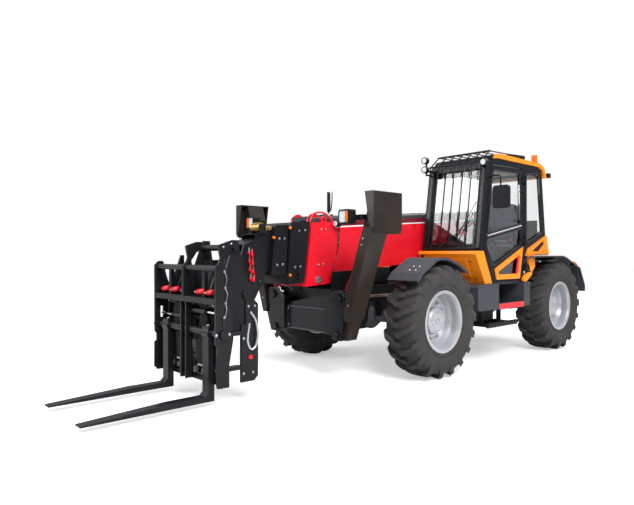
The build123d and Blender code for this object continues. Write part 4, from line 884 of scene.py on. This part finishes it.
def cowl_trim():
    """The cowl's intake slot, washer cap, raised panel and screws."""
    on_chassis("cowl_slot", box((0.28, 0.316), (0.728, 0.75), (1.262, 1.3)), "hose", 0.002)
    on_chassis("cowl_cap", [cap((0.985, 0.79, 1.346), UP, 0.03, 0.01, 0.014, 0.026, 28),
        box((0.95, 1.02), (0.765, 0.812), (1.344, 1.35))], "trim", 0.002)
    slope = (0.934 - 0.727) / (1.31 - 0.958)

    def cowl_y(z, off=0.004):
        return 0.727 + (1.31 - z) * slope - off
    on_chassis("cowl_panel", prism(rounded([(cowl_y(1.25, 0.01), 1.25), (cowl_y(1.25, -0.01), 1.25),
        (cowl_y(1.03, -0.01), 1.03), (cowl_y(1.03, 0.01), 1.03)], 0.006), "x", 0.4, 0.9), "yellow", 0.008)
    on_chassis("cowl_screws", [bolt((x, cowl_y(z, 0.0005), z), (0, -1, -0.5), 0.007, 0.005)
        for x in (0.955, 0.345) for z in (1.22, 1.02)], "trim")


def pillar_trim():
    """Bracket at the foot of the quarter panel, with its lever."""
    on_chassis("pillar_bracket", prism(rounded([(1.8, 0.958), (1.8, 1.005), (1.885, 1.062), (2.01, 1.082),
        (2.02, 1.045), (1.87, 0.958)], 0.015), "x", PILLAR_X, 1.088), "yellow", 0.004)
    on_chassis("pillar_lever", [prism(rounded([(1.85, 1.085), (1.865, 1.175), (1.905, 1.195), (1.985, 1.13),
        (1.975, 1.1)], 0.02), "x", PILLAR_X, 1.082), box((PILLAR_X, 1.07), (1.88, 1.93), (1.05, 1.1))], "trim",
        0.005)
    on_chassis("pillar_lever_end", pipe([(1.07, 1.96, 1.14), (1.076, 2.035, 1.08)], 0.008, 12, 1), "steel")


def seat_pads():
    """Seat cushion and backrest, and the frame that carries them."""
    def pad(name, centre, size, tilt, r):
        x, y, z = (h / 2 for h in size)
        obj = build(name, prism(rounded(rect((-x, x), (-y, y)), r, 6), "z", -z, z), "chassis", "seat")
        bm = bmesh.new()
        bm.from_mesh(obj.data)
        bmesh.ops.bevel(bm, geom=bm.edges[:], offset=min(z * 0.8, 0.045), segments=4, profile=0.6,
            affect="EDGES", clamp_overlap=True)
        bmesh.ops.triangulate(bm, faces=[f for f in bm.faces if len(f.verts) > 4])
        bmesh.ops.subdivide_edges(bm, edges=bm.edges[:], cuts=1, use_grid_fill=True)
        for v in bm.verts:
            # crown in the middle, and a shallow channel either side of it
            u, w = v.co.x / x, v.co.y / y
            if v.co.z > 0:
                v.co.z += 0.018 * (1 - u * u) * (1 - w * w) - 0.01 * max(0, 1 - abs(abs(u) - 0.62) / 0.1)
        bm.transform(Matrix.Translation(centre) @ Matrix.Rotation(radians(tilt), 4, "X"))
        bmesh.ops.recalc_face_normals(bm, faces=bm.faces)
        for f in bm.faces:
            f.smooth = True
        bm.to_mesh(obj.data)
        bm.free()
        return obj
    cushion = pad("seat_cushion", (0.65, 1.69, 1.4), (0.49, 0.47, 0.105), 3.0, 0.07)
    pad("seat_back", (0.65, 2.01, 1.695), (0.45, 0.56, 0.09), 83.0, 0.09)
    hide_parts("seat")
    on_chassis("seat_frame", [box((0.46, 0.84), (1.5, 1.76), (1.33, 1.346)),
        box((0.5, 0.8), (1.935, 1.965), (1.36, 1.46))], "trim", 0.003)


def step_trim():
    """Red sill edge, tread bars and screws of the step box, and cap and straps of the tank behind it."""
    on_chassis("step_edge", box((1.09, 1.0955), (1.186, 1.784), (0.646, 0.71)), "red", 0.002)
    bars = [box((0.8, 1.055), (1.2 + 0.045 * i, 1.215 + 0.045 * i), (0.67, 0.676)) for i in range(13)]
    bars += [box((0.852, 1.008), (1.2 + 0.06 * i, 1.212 + 0.06 * i), (0.448, 0.455)) for i in range(6)]
    bars += [box((0.806, 0.826), (1.0, 1.69), (0.428, 0.48)), box((1.03, 1.056), (1.0, 1.69), (0.428, 0.486)),
        box((0.826, 1.03), (1.0, 1.13), (0.438, 0.462)), box((0.826, 1.03), (1.56, 1.69), (0.438, 0.462))]
    bars += [box((1.056, 1.064), (1.02 + 0.066 * i, 1.045 + 0.066 * i), (0.45, 0.49)) for i in range(11)]
    on_chassis("step_treads", bars, "black", 0.002)
    on_chassis("step_back", box((0.79, 0.796), (1.19, 1.78), (0.69, 0.93)), "hose")
    on_chassis("sill_screws", [bolt((1.092, y, z), LEFT, 0.006, 0.004)
        for y, z in ((0.8, 0.92), (1.14, 0.92), (1.87, 0.92))], "trim")
    on_chassis("tank_cap", cap((0.62, 0.83, 0.66), UP, 0.043, 0.02, 0.026, 0.036, 32), "trim", 0.001)
    on_chassis("tank_straps", [box((0.262, 0.7465), (y, y + 0.035), (0.4345, 0.6415)) for y in (0.95, 1.4)],
        "iron", 0.003)


def fender_trim():
    """White fixing bolts of the front fenders, and the side markers."""
    for side, _ in SIDES:
        build_side(side, "fender_dots", [cap((x, y, z), (0, -0.48, 0.88), 0.0075, 0.004, 0.006, 0.005, 18)
            for x in (1.0, 1.075) for y, z in ((-0.4, 1.147), (-0.335, 1.182))], "knuckle_front_" + side,
            "white")
        build_side(side, "side_marker", prism(rounded([(3.08, 1.165), (3.185, 1.13), (3.2, 1.165),
            (3.095, 1.205)], 0.012), "x", 1.125, 1.168), "chassis", "amber", 0.004)
        build_side(side, "side_marker_base",
            prism(rounded([(3.07, 1.15), (3.2, 1.105), (3.206, 1.128), (3.076, 1.172)], 0.008), "x", 1.12,
            1.17), "chassis", "trim", 0.002)


def rear_arch_trim():
    """Inner edge strip under each rear fender, down to just over the lugs."""
    line = [(1.9, 1.262), (1.96, 1.284), (2.74, 1.284), (2.84, 1.262), (3.285, 1.11), (3.45, 0.85),
        (3.45, 0.765)]
    depth = [(1.93, 1.225), (1.98, 1.236), (2.72, 1.236), (2.82, 1.216), (3.262, 1.076), (3.412, 0.84),
        (3.412, 0.765)]
    on_chassis("rear_arch_strips", both([prism(line[i:i + 2] + depth[i:i + 2][::-1], "x", 0.78, 0.786)
        for i in range(len(line) - 1)]), "plastic")


# outer face of the quarter panel's post
PILLAR_X = 1.052


def arch_tank():
    """Oil tank between tower and left rear fender, with cap and level glass, and the quarter panel's post."""
    on_chassis("oil_tank", box((0.262, 0.56), (2.76, 3.3), (1.1, 1.226)), "black", 0.012)
    cap = [turned([(0, 0.04), (0.006, 0.04), (0.008, 0.03), (0.03, 0.03), (0.034, 0.026)], (0.44, 2.92, 1.226),
        UP, 32)]
    cap.append(pipe([(0.34, 3.2, 1.226), (0.34, 3.2, 1.262), (0.3, 3.16, 1.268), (0.262, 3.12, 1.262)], 0.01))
    on_chassis("oil_tank_cap", cap, "trim", 0.001)
    on_chassis("oil_level", box((0.56, 0.564), (3.02, 3.04), (1.115, 1.205)), "clear", 0.001)
    on_chassis("quarter_post", prism(rounded([(1.925, 1.318), (2.08, 1.318), (2.106, 1.15), (2.05, 1.092),
        (1.975, 1.085), (1.945, 1.2)], 0.012), "x", PILLAR_X, 1.084), "yellow", 0.004)


def boom_rear():
    """Closing plate inside the boom's rear end, with its cover, screws and grease lines."""
    # the closing plate takes the darkened red: painted shade inside the boom's hollow rear end
    on_boom("boom_rear_plate", box((-0.1885, 0.1885), (0.112, 0.12), (-0.2665, 0.2665)), "boom", "shaded_red")
    on_boom("boom_rear_hatch", [prism(rounded([(-0.17, -0.12), (-0.17, 0.12), (0.02, 0.12), (0.02, -0.12)],
        0.03), "y", 0.12, 0.127), cap((0.0, 0.12, 0.15), REAR, 0.045, 0.012, 0.018, 0.036, 32)], "boom",
        "black", 0.002)
    screws = [bolt((x, 0.127, z), REAR, 0.008, 0.006) for x in (-0.1, 0.1) for z in (-0.15, -0.07, 0.0)]
    screws += [bolt((x, 0.12, z), REAR, 0.01, 0.008) for x in (-0.165, 0.165)
        for z in (-0.24, -0.08, 0.08, 0.24)]
    on_boom("boom_rear_screws", screws, "boom", "steel")
    on_boom("boom_rear_hoses", [pipe([(x, 0.122, 0.215), (x, 0.145, 0.215), (x, 0.148, 0.12),
        (x * 0.7, 0.14, 0.0), (x * 0.6, 0.124, -0.01)], 0.007) for x in (-0.075, -0.05, 0.05, 0.075)], "boom",
        "hose")


def front_plate():
    """Raised border, brace and screws of the bare front cross plate."""
    w, lo, hi, t = 0.337, 0.4775, 0.7375, 0.016
    on_chassis("plate_border", [box(x, (-0.923, -0.913), z)
        for x, z in (((-w, w), (hi - t, hi)), ((-w, w), (lo, lo + t)), ((-w, -w + t), (lo, hi)),
        ((w - t, w), (lo, hi)))], "slate", 0.003)
    on_chassis("plate_brace", [rod((-0.3, -0.85, 0.745), (0.325, -0.8, 0.85), 0.011, 20),
        rod((-0.3, -0.85, 0.72), (-0.3, -0.85, 0.758), 0.018, 20)], "steel")
    on_chassis("plate_screws", [bolt((s * 0.31, -0.923, z), FRONT, 0.008, 0.006) for s in (-1, 1)
        for z in (0.52, 0.7)], "steel")


LID_X = -1.119


def hood_trim():
    """Louvre mesh, front, grille and latches of the engine lid, and what shows of the engine when it is open."""
    lid = "engine_hood"
    build("louvre_mesh", box((-1.1112, -1.1085), (0.975, 1.545), (1.215, 1.525)), lid, "hose")
    frame_bars = [box((LID_X - 0.0045, LID_X), (0.975, 1.545), (z, z + 0.012)) for z in (1.222, 1.506)]
    frame_bars += [box((LID_X - 0.0045, LID_X), (y, y + 0.012), (1.222, 1.518)) for y in (0.975, 1.533)]
    build("louvre_frame", frame_bars, lid, "yellow", 0.002)
    # front and sloping top of the lid, which the solid leaves open, with the intake grille
    build("lid_front", prism([(0.809, 1.232), (0.83, 1.5), (0.96, 1.64), (1.388, 1.66488), (1.525, 1.66475),
        (0.9634, 1.6317), (0.8378, 1.4966), (0.817, 1.232)], "x", -1.1118, -0.292), lid, "yellow")
    slat = ((0.8118, 1.262), (0.8038, 1.256), (0.8038, 1.262), (0.8118, 1.27))
    slats = [prism([(y + t * 0.0186, z + t * 0.212) for y, z in slat], "x", -1.04, -0.38)
        for t in (i / 11 for i in range(12))]
    slats += [prism([(0.8105, 1.25), (0.8045, 1.25), (0.8235, 1.49), (0.8295, 1.49)], "x", x, x + 0.014)
        for x in (-1.054, -0.717, -0.38)]
    build("lid_grille", slats, lid, "black")
    latches = [prism(rounded(rect((y - 0.03, y + 0.03), (1.15, 1.205)), 0.01), "x", -1.13, -1.1195)
        for y in (0.92, 1.72)]
    latches += [pipe([(-1.1195, 1.24, 1.585), (-1.15, 1.26, 1.585), (-1.15, 1.4, 1.585),
        (-1.1195, 1.42, 1.585)], 0.008, 10, 3)]
    build("lid_latches", latches, lid, "trim", 0.003)
    cover = [prism(rounded([(0.93, 1.479), (0.96, 1.53), (1.7, 1.53), (1.73, 1.479)], 0.02), "x", -0.86, -0.66)]
    cover += [rod((-0.62, 1.62, 1.515), (-0.62, 1.75, 1.515), 0.035, 24),
        box((-0.95, -0.88), (0.95, 1.65), (1.4, 1.5))]
    on_chassis("engine_covers", cover, "black", 0.006)
    on_chassis("air_filter", turned([(0, 0.05), (0.02, 0.062), (0.33, 0.062), (0.36, 0.05), (0.4, 0.03)],
        (-0.52, 1.05, 1.545), REAR, 32), "trim", 0.002)
    pipes = [pipe([(-0.52, 1.43, 1.545), (-0.53, 1.52, 1.55), (-0.6, 1.6, 1.545), (-0.62, 1.66, 1.515)], 0.026,
        16), pipe([(-0.9, 0.9, 1.3), (-0.92, 0.872, 1.45), (-0.8, 0.9, 1.52), (-0.7, 0.97, 1.51)], 0.018, 14)]
    pipes += [pipe([(-0.98, 1.0 + dy, 1.2), (-1.03, 1.0 + dy, 1.28), (-1.0, 1.05 + dy, 1.42),
        (-0.93, 1.05 + dy, 1.45)], 0.01) for dy in (0.15 * i for i in range(4))]
    on_chassis("engine_hoses", pipes, "hose")
    on_chassis("exhaust", [pipe([(-0.62, 1.878, 1.3), (-0.62, 1.925, 1.3), (-0.64, 1.955, 1.34),
        (-0.64, 1.96, 1.46)], 0.03, 18), disc((-0.62, 1.88, 1.3), REAR, 0.042, 0.01, 24)], "iron")
    # black strip along the lid's crease: painted shade of the crease
    build("lid_crease_shade", box((LID_X - 0.0025, LID_X), (0.86, 1.87), (1.56, 1.566)), lid, "trim")
    on_chassis("tray_screws", [bolt((-1.12, y, z), RIGHT, 0.008, 0.006)
        for y, z in ((0.85, 1.1), (1.35, 1.1), (1.83, 1.1), (0.85, 0.76), (1.83, 0.76))], "steel")


BEAM_Y = 3.37


def rear_trim():
    """Lamp bezels, reflectors, plate holder, pin and bolts of the rear beam."""
    shapes = []
    for s in (-1, 1):
        x0, x1 = sorted((s * 0.392, s * 0.498))
        shapes += [box((x0, x1), (BEAM_Y, BEAM_Y + 0.028), (0.874, 0.882)),
            box((x0, x1), (BEAM_Y, BEAM_Y + 0.028), (0.798, 0.806)),
            box((x0, x0 + 0.006), (BEAM_Y, BEAM_Y + 0.028), (0.798, 0.882)),
            box((x1 - 0.006, x1), (BEAM_Y, BEAM_Y + 0.028), (0.798, 0.882))]
    shapes += [box((-0.34, -0.12), (BEAM_Y, BEAM_Y + 0.006), (0.78, 0.87)),
        box((0.16, 0.22), (BEAM_Y, BEAM_Y + 0.022), (0.8, 0.86))]
    on_chassis("rear_lamp_bezels", shapes, "trim", 0.002)
    on_chassis("rear_reflectors", [disc((s * 0.32, BEAM_Y, 0.64), REAR, 0.028, 0.006, 28) for s in (-1, 1)],
        "tail", 0.001)
    on_chassis("tow_pin", [rod((0, 3.43, 0.615), (0, 3.43, 0.745), 0.014, 20),
        disc((0, 3.43, 0.742), UP, 0.022, 0.008, 20),
        pipe([(0, 3.43, 0.748), (0.02, 3.43, 0.775), (0.0, 3.43, 0.79), (-0.02, 3.43, 0.775), (0, 3.43, 0.75)],
        0.004)], "steel")
    on_chassis("bumper_bolts", [bolt((x, BEAM_Y, z), REAR, 0.012, 0.01) for x in (-0.49, -0.24, 0.24, 0.49)
        for z in (0.6, 0.72)], "steel")


def lamp_face(name, centre, r):
    """Bezel, reflector and lens of a round work lamp."""
    on_chassis(name + "_bezel", turned([(-0.004, r), (0.004, r), (0.005, r - 0.006), (-0.002, r - 0.007),
        (-0.004, r)], centre, FRONT, 32), "trim")
    on_chassis(name + "_lens", turned([(0, r - 0.007), (0.003, r * 0.5), (0.004, 0.0)], centre, FRONT, 32),
        "clear")


def lamp_trim():
    """Faces of the work lamps and the rear lamp, and the beacon's rings."""
    lamp_face("roof_lamp_high", (0.264, 0.816, 2.486), 0.043)
    lamp_face("roof_lamp_low", (0.264, 0.816, 2.372), 0.043)
    lamp_face("front_lamp", (1.062, 0.874, 2.385), 0.041)
    on_chassis("beacon_rings", [disc((0.96, 2.33, z), UP, 0.0385, 0.004, 32)
        for z in (2.534, 2.56, 2.586, 2.612)], "amber", 0.001)
    on_chassis("rear_lamp_lens", box((1.014, 1.056), (2.598, 2.603), (2.354, 2.406)), "clear", 0.001)


def mirror_trim():
    """Faces of the mirrors, the back of the left one, and the hoop round the right one."""
    def plate(x, z, r, y):
        return prism([(b, a) for a, b in rounded(rect(x, z), r)], "y", *y)
    on_chassis("mirror_face_left", plate((1.212, 1.388), (1.842, 2.078), 0.028, (0.8895, 0.8915)), "mirror")
    on_chassis("mirror_back_left", plate((1.218, 1.382), (1.85, 2.07), 0.03, (0.846, 0.851)), "trim", 0.003)
    place = Matrix.Translation((-1.314, 0.65, 1.915)) @ Matrix.Rotation(radians(135), 4, "Z")
    build("mirror_face_right", moved(plate((-0.088, 0.088), (0.012, 0.273), 0.028, (-0.024, -0.0215)), place),
        "chassis", "mirror")
    build("mirror_hoop_right", moved(pipe([(-0.08, -0.03, 0.02), (-0.098, -0.045, 0.14), (-0.06, -0.05, 0.275),
        (0.0, -0.05, 0.284), (0.06, -0.05, 0.275), (0.098, -0.045, 0.14), (0.08, -0.03, 0.02)], 0.005), place),
        "chassis", "trim")


wheels()
door_trim()
wiper()
cab_inside()
cowl_trim()
pillar_trim()
seat_pads()
step_trim()
fender_trim()
rear_arch_trim()
arch_tank()
front_plate()
boom_rear()
hood_trim()
rear_trim()
lamp_trim()
mirror_trim()
boom_trim()
boom_fittings()
hose_bundle()
head_couplers()
for side, _ in SIDES:
    stabiliser_trim(side)
chassis_trim()
carriage_sides()
carriage_hydraulics()
carriage_plates()


# ---- stage, light, camera --------------------------------------------------------------
def direct_ray(tree):
    """1 for a ray from the camera, straight or through glass, and 0 for any other."""
    rays = added(tree, "LightPath").outputs
    either = added(tree, "Math", {0: rays["Is Camera Ray"], 1: rays["Is Transmission Ray"]})
    either.operation = "MAXIMUM"
    return either.outputs[0]


def stage():
    """White floor that glows for the camera alone, soft sky behind white, and three lamps."""
    mesh = bpy.data.meshes.new("floor")
    reach = 60.0
    mesh.from_pydata([(-reach, -reach, 0), (reach, -reach, 0), (reach, reach, 0), (-reach, reach, 0)], [],
        [(0, 1, 2, 3)])
    floor = bpy.data.objects.new("floor", mesh)
    bpy.context.scene.collection.objects.link(floor)
    mat = bpy.data.materials.new("floor_white")
    mat.use_nodes = True
    tree = mat.node_tree
    tree.nodes.clear()
    matte = added(tree, "BsdfDiffuse", {"Color": (0.8, 0.8, 0.8, 1)}).outputs[0]
    glow = added(tree, "Emission", {"Color": (1, 1, 1, 1), "Strength": 0.42}).outputs[0]
    lit = added(tree, "AddShader", {0: matte, 1: glow}).outputs[0]
    mix = added(tree, "MixShader", {"Fac": direct_ray(tree), 1: matte, 2: lit})
    added(tree, "OutputMaterial", {"Surface": mix.outputs[0]})
    mesh.materials.append(mat)

    world = bpy.data.worlds.new("sky")
    bpy.context.scene.world = world
    world.use_nodes = True
    tree = world.node_tree
    tree.nodes.clear()
    where = added(tree, "TexCoord").outputs["Generated"]
    height = added(tree, "SeparateXYZ", {"Vector": where}).outputs["Z"]
    sky = added(tree, "ValToRGB", {"Fac": height})
    set_stops(sky, (0.0, (0.22, 0.23, 0.25, 1)), (0.75, (0.95, 0.97, 1.0, 1)))
    soft = added(tree, "Background", {"Color": sky.outputs["Color"], "Strength": 0.85}).outputs[0]
    white = added(tree, "Background", {"Color": (1, 1, 1, 1), "Strength": 1.0}).outputs[0]
    mix = added(tree, "MixShader", {"Fac": direct_ray(tree), 1: soft, 2: white})
    added(tree, "OutputWorld", {"Surface": mix.outputs[0]})

    for name, at, size, power in (("key", (8.0, -4.0, 8.0), 5.0, 1300.0),
            ("fill", (-7.0, -9.0, 5.0), 5.0, 520.0), ("rim", (2.0, 10.0, 9.0), 6.0, 600.0)):
        lamp = bpy.data.lights.new(name, "AREA")
        lamp.energy = power
        lamp.size = size
        obj = bpy.data.objects.new(name, lamp)
        obj.location = at
        obj.rotation_euler = (Vector((0, 0, 0.8)) - Vector(at)).to_track_quat("-Z", "Y").to_euler()
        bpy.context.scene.collection.objects.link(obj)


def camera():
    """The photograph's point of view."""
    cam = bpy.data.cameras.new("view")
    cam.sensor_width = 36.0
    cam.lens = 31.59
    obj = bpy.data.objects.new("view", cam)
    obj.location = (4.566, -4.905, 1.321)
    obj.rotation_euler = (radians(90.05), 0.0, radians(47.84))
    bpy.context.scene.collection.objects.link(obj)
    bpy.context.scene.camera = obj


stage()
camera()
bpy.context.scene.view_settings.view_transform = "Standard"
bpy.context.view_layer.update()
